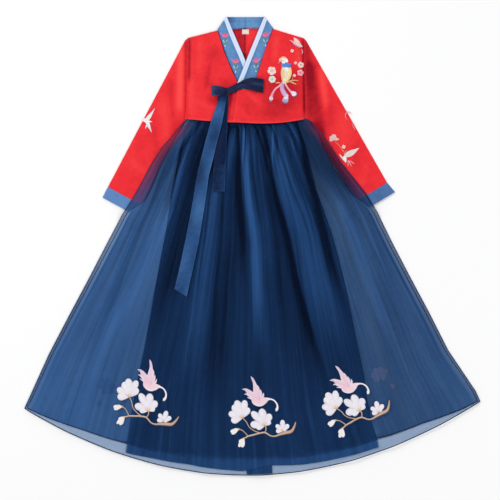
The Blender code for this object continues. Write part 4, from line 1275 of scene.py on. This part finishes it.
# How high the fronts stand up the jacket, and over how much of their width they rise to it
Level = namedtuple("Level", "y height")
FRONT_RISE = [
    Level(292, 9.4),
    Level(345, 9.0),
    Level(405, 8.4),
    Level(440, 5.4),
    Level(480, 2.0),
    Level(505, 0.4),
    Level(520, 0.0),
]
FRONT_SOFT = [Level(370, 5), Level(440, 14)]
# Creases, each with its tone of painted light or shade; the broad one of no height is painted shade alone
FRONT_CREASES = [
    Crease(-150, 500, -152, 390, 3.5, -0.6, -0.8),
    Crease(-145, 400, -147, 320, 8, 0.2, 0.3),
    Crease(-40, 356, -110, 346, 14, -0.3, -0.5),
    Crease(-62, 400, -70, 330, 20, -0.3, -0.4),
    Crease(-88, 480, -98, 440, 12, -0.3, -0.3),
    Crease(48, 410, 48, 300, 46, 0, -0.42),
    Crease(92, 430, 98, 330, 22, -0.3, -0.35),
    Crease(-122, 500, -128, 410, 8, 0.6, 0.25),
    Crease(-100, 440, -112, 370, 6, -0.5, -0.35),
    Crease(-110, 400, -70, 340, 8, -0.5, -0.25),
    Crease(-140, 345, -75, 325, 7, 0.5, 0.2),
    Crease(-51, 372, -58, 296, 5, -0.5, -0.6),
    Crease(121, 500, 125, 312, 4, -0.8, -0.9),
    Crease(105, 490, 112, 420, 7, 0.5, 0.25),
    Crease(60, 505, 50, 440, 8, 0.6, 0.35),
    Crease(10, 368, 22, 330, 9, 0.6, 0.3),
    Crease(-18, 372, 16, 338, 6, 0.7, 0.35),
    Crease(-30, 350, 0, 310, 8, -0.4, -0.25),
    Crease(40, 350, 100, 325, 9, -0.4, -0.2),
]


def front_under(x, y):
    """Height of the underside of the jacket's fronts."""
    side = np.maximum(np.minimum(x - JACKET_LEFT, JACKET_RIGHT - x), 0)
    neck = 1.4 * eased(np.abs(x - BACK_SEAM_X), 98, 68) * eased(y, 400, 460)
    rise = column_of(FRONT_RISE, y, 1) * (1 - np.exp(-side / column_of(FRONT_SOFT, y, 1)))
    return FRONT_FLOOR + rise + neck


def upper_under(x, y):
    """Height of the upper front's underside, which is higher where it laps over the other one."""
    return front_under(x, y) + 3.0 * eased(x, 60, 35) * eased(y, 500, 460)


def lower_front_top(x, y):
    return front_under(x, y) + JACKET_WALL + 0.7 * creased(FRONT_CREASES, x, y)[0]


def upper_front_top(x, y):
    return upper_under(x, y) + JACKET_WALL + 0.7 * creased(FRONT_CREASES, x, y)[0]


Front = namedtuple("Front", "side table top_at flat area")
FRONTS = [
    Front("left", FRONT_LEFT, upper_front_top, (0.175, 0.225), 0.0305),
    Front("right", FRONT_RIGHT, lower_front_top, (0.19, 0.215), 0.0275),
]
for front in FRONTS:
    place = np.linspace(len(front.table) - 1, 0, 140)[:, None]
    part = 0.3 * (1 - np.cos(np.linspace(0, math.pi, 121))) / 2 + 0.7 * np.linspace(0, 1, 121)
    x, y = plan_point(front.table, place, part)
    from_hem = y - y[-1:]
    hem_line = ridge(from_hem - HEM_TURNING, 1.0)
    z = front.top_at(x, y) - 0.5 * np.exp(-from_hem / 0.8) - 0.12 * hem_line
    # Painted light and shade of the creases, a painted highlight along the hem's edge, and a little painted
    # shade along the line where it is turned under
    tone = creased(FRONT_CREASES, x, y)[1] + 0.55 * ridge(from_hem, 2.6) - 0.12 * hem_line
    if front.side == "left":  # the wearer's left one is on top, and its edge catches the light
        from_edge = (x - x[:, :1]) + 90 * eased(place, 3.2, 3.5)
        tone += 0.4 * ridge(from_edge, 2.4)
    piece = cloth("front_" + front.side, np.stack([x, y, z], axis=-1), JACKET_WALL, red_cloth, tone=tone)
    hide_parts("jacket_front_" + front.side)

# ------------------------------------------------------------------ the jacket's embroidery
# On the upper front a long-tailed bird sits among plum blossoms, with a small pink crane flying at the
# shoulder. Each sleeve has a white crane, and the right one a sprig of blossom as well.

PEACH = (252, 196, 160)
YELLOW = (250, 232, 178)
SKY = (96, 146, 222)
VIOLET = (196, 164, 214)
CANDY = (248, 150, 186)
BLUSH = (252, 200, 202)
MINT = (206, 224, 206)
INDIGO = (78, 96, 178)
PEARL = (232, 226, 236)

bird = Embroidery()
bird.shape([(55.5, 388, 0.8), (60, 389.5, 1.3), (66, 389, 1.0)], GOLD, PEACH)
bird.shape([(80, 389, 1.2), (88, 392, 1.4), (98, 395, 1.2), (110, 394.4, 0.6)], PEACH, GOLD)
bird.shape([(92, 391, 1.2), (98, 388.5, 1.3), (105, 385.5, 0.6)], GOLD, PEACH)
bird.shape([(84, 393, 1.0), (88, 397, 1.6), (91, 399, 0.4)], (70, 66, 40), (98, 84, 44))
bird.shape([(72, 390, 2.0), (65, 382, 1.8), (56, 375, 2.0), (49, 365, 2.3), (45.5, 355, 3.4)], BLUSH, CANDY)
bird.petal((46, 360), (44.3, 347), 4.6, CANDY, WHITE)
bird.petal((45, 350), (43.6, 344), 2.6, (170, 200, 220), (96, 132, 190))
bird.shape([(77, 390, 1.8), (83, 379, 1.8), (89, 371, 2.2), (95, 365, 3.2)], BLUSH, CANDY)
bird.petal((92, 368), (104.5, 359), 6.0, (232, 214, 240), WHITE)
bird.shape([(97, 356.5, 0.5), (102, 357, 1.0), (106, 361.5, 0.9), (105, 366, 0.4)], INDIGO, SKY)
bird.shape([(73, 391, 2.6), (70.5, 378, 4.6), (75, 366, 5.6), (82, 356, 5.0)], VIOLET, (222, 196, 232))
bird.shape([(70, 388, 0.7), (66.5, 377, 0.9), (70, 366, 0.9), (76, 357, 0.7)], CANDY, CANDY)
bird.shape([(76, 386, 0.6), (75.5, 376, 0.8), (80, 367, 0.8), (86.5, 358, 0.6)], (150, 126, 190), VIOLET)
bird.petal((84, 361), (76, 340), 6.8, (240, 230, 248), INDIGO)
bird.shape([(83, 355, 3.0), (80, 352, 4.6), (78, 349.5, 4.8)], WHITE, (226, 222, 244))
bird.shape(
    [(79.5, 434, 7.0), (81, 425, 11.0), (81, 414, 13.0), (79, 403, 10.5), (76, 393, 5.5), (74, 387, 2.6)],
    YELLOW,
    YELLOW,
)
bird.shape([(71, 424, 1.4), (70.3, 412, 1.8), (71.5, 400, 1.8), (73.5, 390, 1.2)], PEACH, PEACH)
bird.shape([(91.5, 424, 1.2), (92.5, 412, 1.8), (88, 399, 1.8), (80, 389, 1.0)], (250, 214, 130), PEACH)
bird.shape([(81, 426, 4.4), (82, 415, 7.0), (80, 404, 5.0), (77, 394, 2.0)], WHITE, (252, 240, 206))
for step in range(4):  # the feathers down its breast
    upper, middle, lower = 74.5 + 3.8 * step, 74 + 3.4 * step, 74.5 + 2.0 * step
    bird.shape([(upper, 420 - step, 0.4), (middle, 410, 0.5), (lower, 399, 0.3)], (206, 190, 120))
bird.shape(
    [(69.5, 433.5, 3.4), (75, 432, 6.2), (82, 431, 6.8), (89, 430.5, 5.4), (92, 430, 3.2)],
    SKY,
    (84, 130, 214),
)
bird.shape(
    [(64.5, 441, 1.6), (68, 444, 4.8), (73.5, 445.5, 6.4), (80, 443.5, 5.2), (84.5, 439, 2.2)],
    PEACH,
    WHITE,
)
bird.shape([(66, 447.5, 0.6), (72, 451.3, 1.4), (79, 450, 1.4), (83, 446, 0.6)], (246, 150, 110), PEACH)
bird.shape([(70.5, 439.5, 1.6), (74.5, 438.5, 3.2), (79, 439.3, 1.8)], WHITE, WHITE)
bird.dot(70.6, 442.6, 0.8, (60, 60, 50))
bird.shape([(66, 440.5, 1.6), (63.5, 437.5, 1.3), (62, 434.5, 0.3)], (255, 136, 150), (250, 110, 130))
bird.blossom(46.5, 417.5, 10.5, BLUSH, (255, 236, 226), (200, 190, 150), first=0.9)
bird.blossom(47.5, 397.0, 8.6, MINT, (246, 240, 232), (170, 190, 160), petals=6, first=0.2)
bird.blossom(116.0, 432.5, 7.6, BLUSH, (255, 226, 220), (150, 140, 100), first=0.5)
bird.blossom(115.0, 413.5, 8.0, (244, 150, 166), BLUSH, (210, 120, 130), first=0.1)
for x, y, radius in ((103.4, 437.0, 3.8), (100.5, 406.5, 4.0), (95.3, 466.1, 4.4)):
    bird.blossom(x, y, radius, BLUSH, (255, 226, 220), CANDY, petals=4)
bird.shape([(109, 461, 0.4), (111, 452, 0.5), (114, 442, 0.4)], (226, 110, 80), (236, 130, 90))
bird.shape([(97, 402, 0.4), (96, 398, 0.5), (94, 394, 0.4)], GOLD, GOLD)
bird.shape([(89, 492, 0.4), (95, 489.5, 1.6), (101, 485, 3.0), (107, 480, 3.0)], CANDY, BLUSH)
bird.shape(
    [(99, 498, 0.6), (104, 492, 4.6), (108, 485, 6.6), (113, 480.5, 4.4), (120, 476, 1.0)],
    (255, 214, 214),
    BLUSH,
)
bird.shape([(94, 484, 0.4), (101, 480, 1.6), (109, 476.5, 1.6), (116, 474, 0.4)], (150, 60, 90), CANDY)
bird.shape([(118, 471, 0.4), (120, 464, 1.2), (118.5, 458, 0.4)], BLUSH, CANDY)

bird.sewn_on("bird_and_blossoms", upper_front_top)


def height_on(points):
    """A function for the height at plan points, blended from the nearest of these points."""
    cloud = points.reshape(-1, 3)

    def height(x, y):
        away = np.hypot(x[:, None] - cloud[None, :, 0], y[:, None] - cloud[None, :, 1])
        nearest = np.argsort(away, axis=1)[:, :4]
        weight = 1 / (np.take_along_axis(away, nearest, axis=1) + 0.3) ** 2
        return (cloud[nearest, 2] * weight).sum(axis=1) / weight.sum(axis=1)

    return height


left_sprig = Embroidery()
left_sprig.shape([(-254, 300, 4.4), (-247, 309, 4.4), (-240, 319, 2.2), (-233.5, 329, 0.3)], WHITE, PEARL)
left_sprig.shape([(-253, 300, 4.4), (-249, 289, 4.0), (-245, 280, 2.0), (-241, 271, 0.3)], WHITE, PEARL)
left_sprig.shape(
    [(-263.5, 302.5, 1.2), (-259, 301, 4.2), (-253, 299, 4.6), (-247, 297.5, 2.4), (-240, 296.5, 0.3)],
    WHITE,
    CREAM,
)
left_sprig.shape([(-251, 292, 1.6), (-254.5, 285, 1.4), (-256, 280, 0.3)], (236, 230, 238), WHITE)

right_sprig = Embroidery()
right_sprig.shape(
    [(198, 249, 0.5), (205, 243, 0.6), (210, 237, 0.5), (218, 226, 0.6), (222, 219, 0.5)],
    (236, 150, 90),
    GOLD,
)
right_sprig.shape([(226, 228, 0.4), (221, 222, 0.6), (217, 217, 0.4)], GOLD, (150, 120, 70))
SPRIG_PETALS = [(184.5, 252.5, 3.0), (187, 262, 4.6), (196, 266.5, 5.4), (202, 259, 4.6), (207.5, 255.5, 2.4)]
for tip_x, tip_y, half in SPRIG_PETALS:
    right_sprig.petal((194.5, 252.5), (tip_x, tip_y), half, (206, 190, 180), BLUSH)
right_sprig.blossom(218.8, 236.7, 4.8, BLUSH, (255, 226, 226), CANDY, petals=4)
right_sprig.shape(
    [(221, 214, 3.0), (229, 218, 6.4), (238, 222.5, 6.6), (247, 228, 3.8), (256, 234, 0.3)],
    (236, 226, 220),
    (250, 214, 214),
)
right_sprig.shape(
    [(208.5, 219, 0.8), (214, 212, 1.6), (220, 205, 1.8), (224.5, 198.5, 0.5)], (236, 218, 222), WHITE
)
right_sprig.shape(
    [(219, 214, 2.6), (222, 209, 3.4), (224, 202, 1.6), (224.5, 199, 0.4)], WHITE, (236, 218, 222)
)
for end_x, end_y in ((234, 198), (244, 196), (229, 190), (237, 190)):  # the crane's legs and tail
    bend = ((228 + end_x) / 2 + 1, (204 + end_y) / 2 + 1, 0.8)
    right_sprig.shape([(228, 204, 0.5), bend, (end_x, end_y, 0.5)], CANDY, BLUSH)
right_sprig.shape(
    [(227, 301, 0.5), (223.4, 308, 1.0), (223.4, 315, 1.1), (227.5, 319.5, 1.1), (233, 320, 1.0),
     (238, 315.5, 0.8)],
    (250, 120, 130),
    BLUSH,
)
right_sprig.shape(
    [(238.5, 296, 0.4), (241.5, 286, 1.3), (246.5, 277.5, 0.6)], (246, 110, 124), (250, 140, 150)
)

for side, sprig in (("left", left_sprig), ("right", right_sprig)):
    tube = bpy.data.objects["red_sleeve_" + side].data
    tube_points = np.array([vertex.co for vertex in tube.vertices]) / MM
    outer = tube_points[: len(tube_points) // 2]
    upper = outer[outer[:, 2] > SLEEVE_EDGE / 2]
    sprig.sewn_on("sleeve_embroidery_" + side, height_on(upper))

# ------------------------------------------------------------------ the collar and its white strip
# A doubled band of blue brocade runs from the hidden end on the lower front, round the neck, and down
# the upper front. A stiff white paper-backed strip is basted along its free edge.

COLLAR_TOP_Y = 548.0
COLLAR_BACK_X = -16.4
COLLAR_UNDER = [
    Row(8, 383, -24, 370, 0),
    Row(-9, 424, -44, 412, 0),
    Row(-22.6, 457.5, -57.7, 443, 0),
    Row(-33.5, 483, -67, 468, 0),
    Row(-46, 512, -75, 494, 0),
    Row(-60.8, COLLAR_TOP_Y, *NECK_LEFT, 0),
]
COLLAR_BACK = [
    Row(-39, COLLAR_TOP_Y, -50, 519.5, 0),
    Row(COLLAR_BACK_X, COLLAR_TOP_Y, COLLAR_BACK_X, 521, 0),
    Row(6, COLLAR_TOP_Y, 17, 521, 0),
]
COLLAR_OVER = [
    Row(28, COLLAR_TOP_Y, *NECK_RIGHT, 0),
    Row(14, 514.5, 42.5, 502, 0),
    Row(0, 479.3, 29.5, 466, 0),
    Row(-15.7, 440, 17.5, 427.5, 0),
    Row(-26, 413.5, 8.5, 399, 0),
    Row(-36, 388, 0, 375.5, 0),
]
COLLAR_WALL = 1.2
FOLD_RADIUS = 0.8
STRIP_WALL = 0.8
STRIP_GAP = 0.4
COLLAR_BACK_Z = JACKET_WALL + STRIP_GAP + COLLAR_WALL / 2
STRIP_WIDTH = 11.0
UP = np.array([0.0, 0.0, 1.0])

# A cut across the collar: its free edge, its sewn edge, and the way its outer face looks
Section = namedtuple("Section", "free sewn facing")


def at_height(point, z):
    return np.array([point[0], point[1], z])


def fold_sections(row, away, rising):
    """Sections of the collar round its fold at one side of the neck."""
    made = []
    for step in range(9):
        turn = math.pi * step / 8
        turn = turn if rising else math.pi - turn
        facing = np.array([*(away * math.sin(turn)), -math.cos(turn)])
        shift = UP * (COLLAR_BACK_Z + FOLD_RADIUS) + facing * FOLD_RADIUS
        made.append(Section(at_height(row[:2], 0) + shift, at_height(row[2:4], 0) + shift, facing))
    return made


def laid_sections(rows, height):
    """Sections of the collar where it lies on a front, close together along the table's rows."""
    made = []
    for place in np.linspace(0, len(rows) - 1, 9 * len(rows)):
        row = columns_at(rows, place)
        ends = [at_height(end, height(*end) + COLLAR_WALL / 2) for end in (row[:2], row[2:4])]
        made.append(Section(*ends, UP))
    return made


def folding_away(row, sign):
    """The direction in the plan in which the collar's fold bulges."""
    across = np.array([row.right_x - row.left_x, row.right_y - row.left_y])
    return sign * np.array([-across[1], across[0]]) / np.linalg.norm(across)


collar_line = laid_sections(COLLAR_UNDER[:-1], front_under)
under_count = len(collar_line)
collar_line += fold_sections(COLLAR_UNDER[-1], folding_away(COLLAR_UNDER[-1], -1), rising=False)
for place in np.linspace(0, len(COLLAR_BACK) - 1, 25):
    row = columns_at(COLLAR_BACK, place)
    collar_line.append(Section(at_height(row[:2], COLLAR_BACK_Z), at_height(row[2:4], COLLAR_BACK_Z), -UP))
collar_line += fold_sections(COLLAR_OVER[0], folding_away(COLLAR_OVER[0], 1), rising=True)
over_start = len(collar_line)
collar_line += laid_sections(COLLAR_OVER[1:], upper_under)


def banded(name, sections, wall, tone_of, material):
    """A band with rounded edges through sections, from its free edge to its sewn one."""
    size = len(ROUND_PROFILE)
    across = np.linspace(0, 1, size)
    points, tones = [], []
    for number, (free, sewn, facing) in enumerate(sections):
        middle = free + (sewn - free) * across[:, None]
        half = wall / 2 * np.array(ROUND_PROFILE)[:, None] * np.asarray(facing)
        points.append(np.concatenate([middle + half, (middle - half)[::-1]]))
        tone = tone_of(number, across)
        tones.append(np.concatenate([tone, tone[::-1]]))
    ring = np.array(points)
    index = np.arange(ring.shape[0] * ring.shape[1]).reshape(ring.shape[:2])
    faces = [grid_faces(np.concatenate([index, index[:, :1]], axis=1))]
    # At each end, a three-cornered face under every length of the upper side
    for row, flip in ((index[0], False), (index[-1], True)):
        below = row[:size:-1]
        cap = np.stack([row[: size - 1], row[1:size], below, below], axis=-1)
        faces.append(cap[:, ::-1] if flip else cap)
    marks = {"tone": np.array(tones).ravel()}
    return build_mesh(name, ring.reshape(-1, 3), np.concatenate(faces), material, marks)


ROUND_PROFILE = [0.35, 0.8, 1, 1, 1, 1, 1, 1, 1, 1, 0.8, 0.35]
collar_brocade = woven(
    "collar_blue_brocade", (56, 80, 140), (88, 134, 184), (122, 168, 212), 0.5, mottle=0.5
)
white_strip = woven("collar_white_strip", (128, 156, 214), (204, 220, 246), (236, 242, 255), mottle=0.15)


def collar_tone(number, across):
    """Darker at its sewn edge and along a line near the strip's edge, and inside the neck painted shade where
    the strip's fold shades its ends.
    """
    sewn_edge, strip_edge = ridge(1 - across, 0.06), ridge(across - 0.4, 0.05)
    free, _, facing = collar_line[number]
    from_back = free[0] - COLLAR_BACK_X
    shade = 1.5 if from_back < 0 else 0.9
    inside = 0.15 - shade * eased(abs(from_back), 14, 40) - 0.5 * ridge(from_back, 1.5)
    return 0.1 - 0.8 * sewn_edge - 0.35 * strip_edge + inside * (1 - facing[2]) / 2


collar = banded("collar_band", collar_line, COLLAR_WALL, collar_tone, collar_brocade)
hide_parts("collar")

strip_line = []
for free, sewn, facing in collar_line:
    out = facing * (COLLAR_WALL / 2 + STRIP_GAP + STRIP_WALL / 2)
    inner = free + (sewn - free) * STRIP_WIDTH / math.dist(free, sewn)
    strip_line.append(Section(free + out, inner + out, facing))


def strip_tone(number, across):
    """Painted shade at both edges and along the fold down its middle, the same at every section."""
    edges = 0.9 * ridge(across, 0.12) + 0.7 * ridge(1 - across, 0.12)
    return 0.35 - edges - 0.75 * ridge(across - 0.55, 0.07)


strip = banded("white_collar_strip", strip_line, STRIP_WALL, strip_tone, white_strip)
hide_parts("collar_strip")

# ------------------------------------------------------------------ the collar's embroidery
# Four pink lotus flowers with mint leaves, two on each side of the collar, in satin stitch.

LOTUS_PLACES = [(-65.1, 502.5), (-39.8, 439.5), (31.6, 503.5), (8.8, 440.5)]
collar_points = np.array([
    free + (sewn - free) * share + facing * COLLAR_WALL / 2
    for free, sewn, facing in collar_line[:under_count] + collar_line[over_start:]
    for share in np.linspace(0, 1, 9)
])
lotus = Embroidery()
for x, y in LOTUS_PLACES:
    outer = 1 if x > 0 else -1
    lotus.at(x, y)
    for tip_x, tip_y, half in ((-8.5, 2.5, 2.4), (8.5, 2.5, 2.4), (outer * 12, 8, 2.0)):
        lotus.petal((0, -3), (tip_x, tip_y), half, (178, 120, 196), (206, 140, 204))
    for tip_x, tip_y, half in ((-5.5, 5.5, 2.6), (5.5, 5.5, 2.6), (0, 7.5, 3.0)):
        lotus.petal((0, -4), (tip_x, tip_y), half, (226, 70, 120), (240, 120, 164))
    lotus.petal((0, -5), (-3.2, 1.2), 1.8, (236, 96, 120), (246, 160, 180))
    lotus.petal((0, -5), (3.2, 1.2), 1.8, (236, 96, 120), (246, 160, 180))
    lotus.shape([(0, -5, 0.5), (0.4, -14, 0.5), (0, -24, 0.4)], (96, 150, 150), (120, 170, 160))
    lotus.petal((0, -19), (-5.5, -10), 1.7, (120, 170, 160), (206, 228, 220))
    lotus.petal((0, -19), (5.5, -10), 1.7, (86, 140, 130), (190, 220, 206))
    lotus.petal((-0.5, -20), (0, -27), 1.5, (150, 190, 190), (226, 240, 240))
lotus.sewn_on("collar_lotus_flowers", height_on(collar_points))

# ------------------------------------------------------------------ the ribbon tie
# A navy satin ribbon, tied in a bow of one loop: its root comes from the under front, the knot wraps
# it, the loop lies to the right, and a long and a short tail fall over the skirt.

ROOT = [
    Row(-97, 382.5, -97, 358.5, 0),
    Row(-84, 382, -84, 358, 0),
    Row(-71, 379.5, -71, 357.5, 0),
    Row(-60, 376, -59, 358.5, 0),
]
TAIL_SHORT = [
    Row(-82, 358, -56.5, 358, 0),
    Row(-84, 320, -58, 320, 0),
    Row(-86, 296, -59.5, 296, 0),
    Row(-88, 270, -60.5, 270, 0),
    Row(-90, 235, -62, 235, 0),
    Row(-92, 200, -63, 200, 0),
    Row(-94, 165, -64.5, 165, 0),
    Row(-95, 129, -66, 129, 0),
]
TAIL_LONG = [
    Row(-75, 361, -60, 361, 0),
    Row(-91, 320, -67, 320, 0),
    Row(-101, 290, -73, 290, 0),
    Row(-112, 250, -84, 248, 0),
    Row(-122, 210, -94, 207, 0),
    Row(-131, 172, -104, 168, 0),
    Row(-140, 120, -111, 115, 0),
    Row(-149, 70, -119, 64, 0),
    Row(-159, 18, -128, 10, 0),
    Row(-171, -40, -141, -50, 0),
    Row(-186, -104, -157, -122, 0),
]
KNOT = [
    Row(-60, 376, -60, 360, 0),
    Row(-46, 382, -46, 364, 0),
    Row(-36, 387.5, -34, 370, 0),
    Row(-24, 393, -24, 377, 0),
]
KNOT_Z = (13.8, 15.0, 15.8, 16.2)
LOOP = [
    Row(-25.5, 393, -24.5, 377, 0),
    Row(-16, 396.5, -15, 374, 0),
    Row(-4, 399.5, -3, 371, 0),
    Row(10, 399.5, 11, 367, 0),
    Row(25.5, 397, 24, 365, 0),
]
LOOP_Z = 16.4
LOOP_RADIUS = 1.8
LOOP_LIFT = 0.6
LOOP_CREASE = 0.55
KNOT_LIFT = 1.4
KNOT_SWELL = 3.0
KNOT_WALL = 1.0
RIBBON_WALL = 0.8
RIBBON_LIFT = 0.5
RIBBON_BELLY = 0.5
SELVEDGE = 0.15

satin_navy = woven(
    "ribbon_navy_satin", (6, 10, 30), (25, 36, 70), (58, 86, 128), 0.35, gloss=0.09, mottle=0.2
)
# The tails are the same navy satin in lighter colours, a painted sheen
satin_navy_sheen = woven(
    "ribbon_tail_satin", (10, 28, 62), (44, 82, 132), (72, 114, 164), 0.38, gloss=0.05, mottle=0.3
)


def garment_top(x, y):
    """Height of the cloth that the ribbon lies on: the under front, or the skirt below its hem."""
    return np.where(y > jacket_hem_y(x) - 4, lower_front_top(x, y), skirt_top(x, y))


def smoothed(z, along, across):
    """Heights levelled a little along and across, as a stiff ribbon levels them."""
    for axis, times in ((0, along), (1, across)):
        for _ in range(times):
            padded = np.concatenate([np.take(z, [0], axis), z, np.take(z, [-1], axis)], axis)
            size = z.shape[axis]
            parts = [np.take(padded, range(start, start + size), axis) for start in range(3)]
            z = (parts[0] + 2 * parts[1] + parts[2]) / 4
    return z


def ribbon(name, table, rows, material, lift, tone_of):
    """A stretch of the ribbon laid over the garment, with a raised selvedge at both sides."""
    place = np.linspace(0, len(table) - 1, rows)[:, None]
    part = np.linspace(0, 1, 25)[None, :]
    x, y = plan_point(table, place, part)
    z = np.full(x.shape, -1e9)
    for shift_x in (-5, 0, 5):
        for shift_y in (-6, 0, 6):
            z = np.maximum(z, garment_top(x + shift_x, y + shift_y))
    z = smoothed(z, 12, 12)
    selvedge = ridge(np.minimum(part, 1 - part), 0.05)
    z += RIBBON_LIFT + RIBBON_WALL + lift(place, part)
    z += RIBBON_BELLY * np.sin(math.pi * part) + SELVEDGE * selvedge
    # The raised selvedges get a painted highlight
    tone = tone_of(place / (len(table) - 1), part) + 0.3 * selvedge
    return cloth(name, np.stack([x, y, z], axis=-1), RIBBON_WALL, material, tone=tone)


def root_lift(place, part):
    return 0.4 * np.sin(9 * part) * place / 3


def root_tone(place, part):
    """Painted light at its cut end, and painted shade where it goes under the knot."""
    return 0.5 * ridge(place, 0.25) - 0.5 * eased(place, 0.5, 0.9) + 0.3 * np.sin(part * 7) * place


def short_lift(place, part):
    return 0.2 * place


def short_tone(place, part):
    """The short tail lies in the long one's shade."""
    return -1.3 + 0.25 * part + 0.35 * place**2


def long_lift(place, part):
    """Over the short tail, and lower past it and under the knot."""
    return 2.3 * eased(place, 6.5, 3.5) - 0.6 * eased(place, 0.6, 0)


# Soft waves of painted light and shade, lighter towards one side, and painted shade where it starts under the
# knot
def long_tone(place, part):
    soft = 0.25 * np.sin(9 * place + 3 * part) + 0.2 * np.sin(23 * place - 2 * part)
    return -0.1 + soft + 0.35 * (part - 0.5) - 0.9 * eased(place, 0.1, 0)


root = ribbon("bow_root", ROOT, 40, satin_navy, root_lift, root_tone)
tail_short = ribbon("bow_tail_short", TAIL_SHORT, 120, satin_navy_sheen, short_lift, short_tone)
tail_long = ribbon("bow_tail_long", TAIL_LONG, 240, satin_navy_sheen, long_lift, long_tone)

place = np.linspace(0, len(KNOT) - 1, 45)[:, None]
part = np.linspace(0, 1, 31)[None, :]
x, y = plan_point(KNOT, place, part)
along = place / (len(KNOT) - 1)
swell = np.sqrt(np.clip(1 - (2 * part - 1) ** 2, 0, 1)) * (0.75 + 0.25 * np.sin(math.pi * along))
wraps = np.sin(part * 15 + 5 * along + 1)
base = np.interp(place, range(len(KNOT)), KNOT_Z)
z = base + KNOT_LIFT + (KNOT_SWELL + 0.35 * wraps) * swell
# Painted light and shade: lighter on its swell, light and dark along its wraps, and lighter at its far end
# towards one side
tone = 0.25 * wraps + 0.25 * swell - 0.35 + 0.35 * eased(along, 0.5, 0.8) * part
knot = cloth("bow_knot", np.stack([x, y, z], axis=-1), KNOT_WALL, satin_navy, tone=tone)

# The loop runs out along its lower side, round its end, and back along its creased upper side
LoopRow = namedtuple("LoopRow", "place lift bulge crease")
loop_end = len(LOOP) - 1
loop_rows = []
for place in np.linspace(0, loop_end, 33):
    loop_rows.append(LoopRow(place, 0.0, 0.0, 0.0))
for turn in np.linspace(0, math.pi, 11)[1:-1]:
    lift, bulge = LOOP_RADIUS * (1 - math.cos(turn)), LOOP_RADIUS * math.sin(turn)
    loop_rows.append(LoopRow(loop_end, lift, bulge, 0.0))
for place in np.linspace(loop_end, 0, 45):
    lift = 2 * LOOP_RADIUS + 1.5 * math.sin(math.pi * place / loop_end)
    loop_rows.append(LoopRow(place, lift, 0.0, LOOP_CREASE))
part = np.linspace(0, 1, 31)
points, tones = [], []
for row in loop_rows:
    along = row.place / loop_end
    x, y = plan_point(LOOP, row.place, part)
    folds = np.sin(part * 9 - 2.5 * along + 0.6) * (1 - along) ** 0.7
    z = LOOP_Z + LOOP_LIFT + row.lift + row.crease * folds
    points.append(np.stack([x + row.bulge, y, z], axis=-1))
    # Painted light and shade along its folds, and a band of painted highlight running along it
    tones.append(0.4 * folds + 0.55 * ridge(part - 0.62 + 0.2 * along, 0.16) - 0.35)
loop = cloth("bow_loop", np.array(points), 0, satin_navy, tone=np.array(tones))

for name, piece, flat in (
    ("ribbon_root", root, (0.024, 0.037)),
    ("ribbon_tail_short", tail_short, (0.028, 0.23)),
    ("ribbon_tail_long", tail_long, (0.031, 0.50)),
    ("ribbon_knot", knot, (0.020, 0.040)),
    ("ribbon_loop", loop, (0.030, 0.115)),
):
    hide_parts(name)

# ------------------------------------------------------------------ the table, the light and the camera
# A plain white table, one large soft light from the upper left and a pale room, with the camera
# straight above the garment.

# In metres, as Blender has them
FLOOR_SIZE = 12.0
FLOOR_DROP = 0.0004
ROOM_LIGHT = 0.64
SoftLight = namedtuple("SoftLight", "place size power")
SOFT_LIGHTS = [
    SoftLight((-2.6, 2.2, 3.6), 1.8, 90.0),
    SoftLight((2.8, -1.6, 3.6), 2.4, 46.0),
]
LENS = 85.0
SENSOR = 36.0
VIEW_WIDTH = 1.2
VIEW_CENTRE = (-0.0056, -0.0106)

bpy.ops.mesh.primitive_plane_add(size=FLOOR_SIZE, location=(0, 0, -FLOOR_DROP))
floor = bpy.context.object
floor.name = "table"
table_finish = Finish("table_white", 0.9, gloss=0.0)
whites = [(0.0, dye(250, 250, 251)), (1.0, dye(252, 252, 252))]
table_finish.colour(table_finish.ramp(table_finish.patches(0.8), whites))
floor.data.materials.append(table_finish.material)

world = bpy.data.worlds.new("pale_room")
world.use_nodes = True
background = world.node_tree.nodes["Background"]
background.inputs["Color"].default_value = (1.0, 1.0, 1.0, 1)
background.inputs["Strength"].default_value = ROOM_LIGHT
bpy.context.scene.world = world

for number, soft_light in enumerate(SOFT_LIGHTS):
    lamp = bpy.data.lights.new(f"soft_light_{number}", "AREA")
    lamp.size = soft_light.size
    lamp.energy = soft_light.power
    light = bpy.data.objects.new(lamp.name, lamp)
    light.location = soft_light.place
    bpy.context.scene.collection.objects.link(light)
    aim = light.constraints.new("TRACK_TO")
    aim.target = floor
    aim.track_axis = "TRACK_NEGATIVE_Z"
    aim.up_axis = "UP_Y"

camera_data = bpy.data.cameras.new("camera")
camera_data.lens = LENS
camera_data.sensor_width = SENSOR
camera = bpy.data.objects.new("camera", camera_data)
camera.location = (*VIEW_CENTRE, VIEW_WIDTH * LENS / SENSOR)
bpy.context.scene.collection.objects.link(camera)
bpy.context.scene.camera = camera
bpy.context.scene.view_settings.view_transform = "Standard"
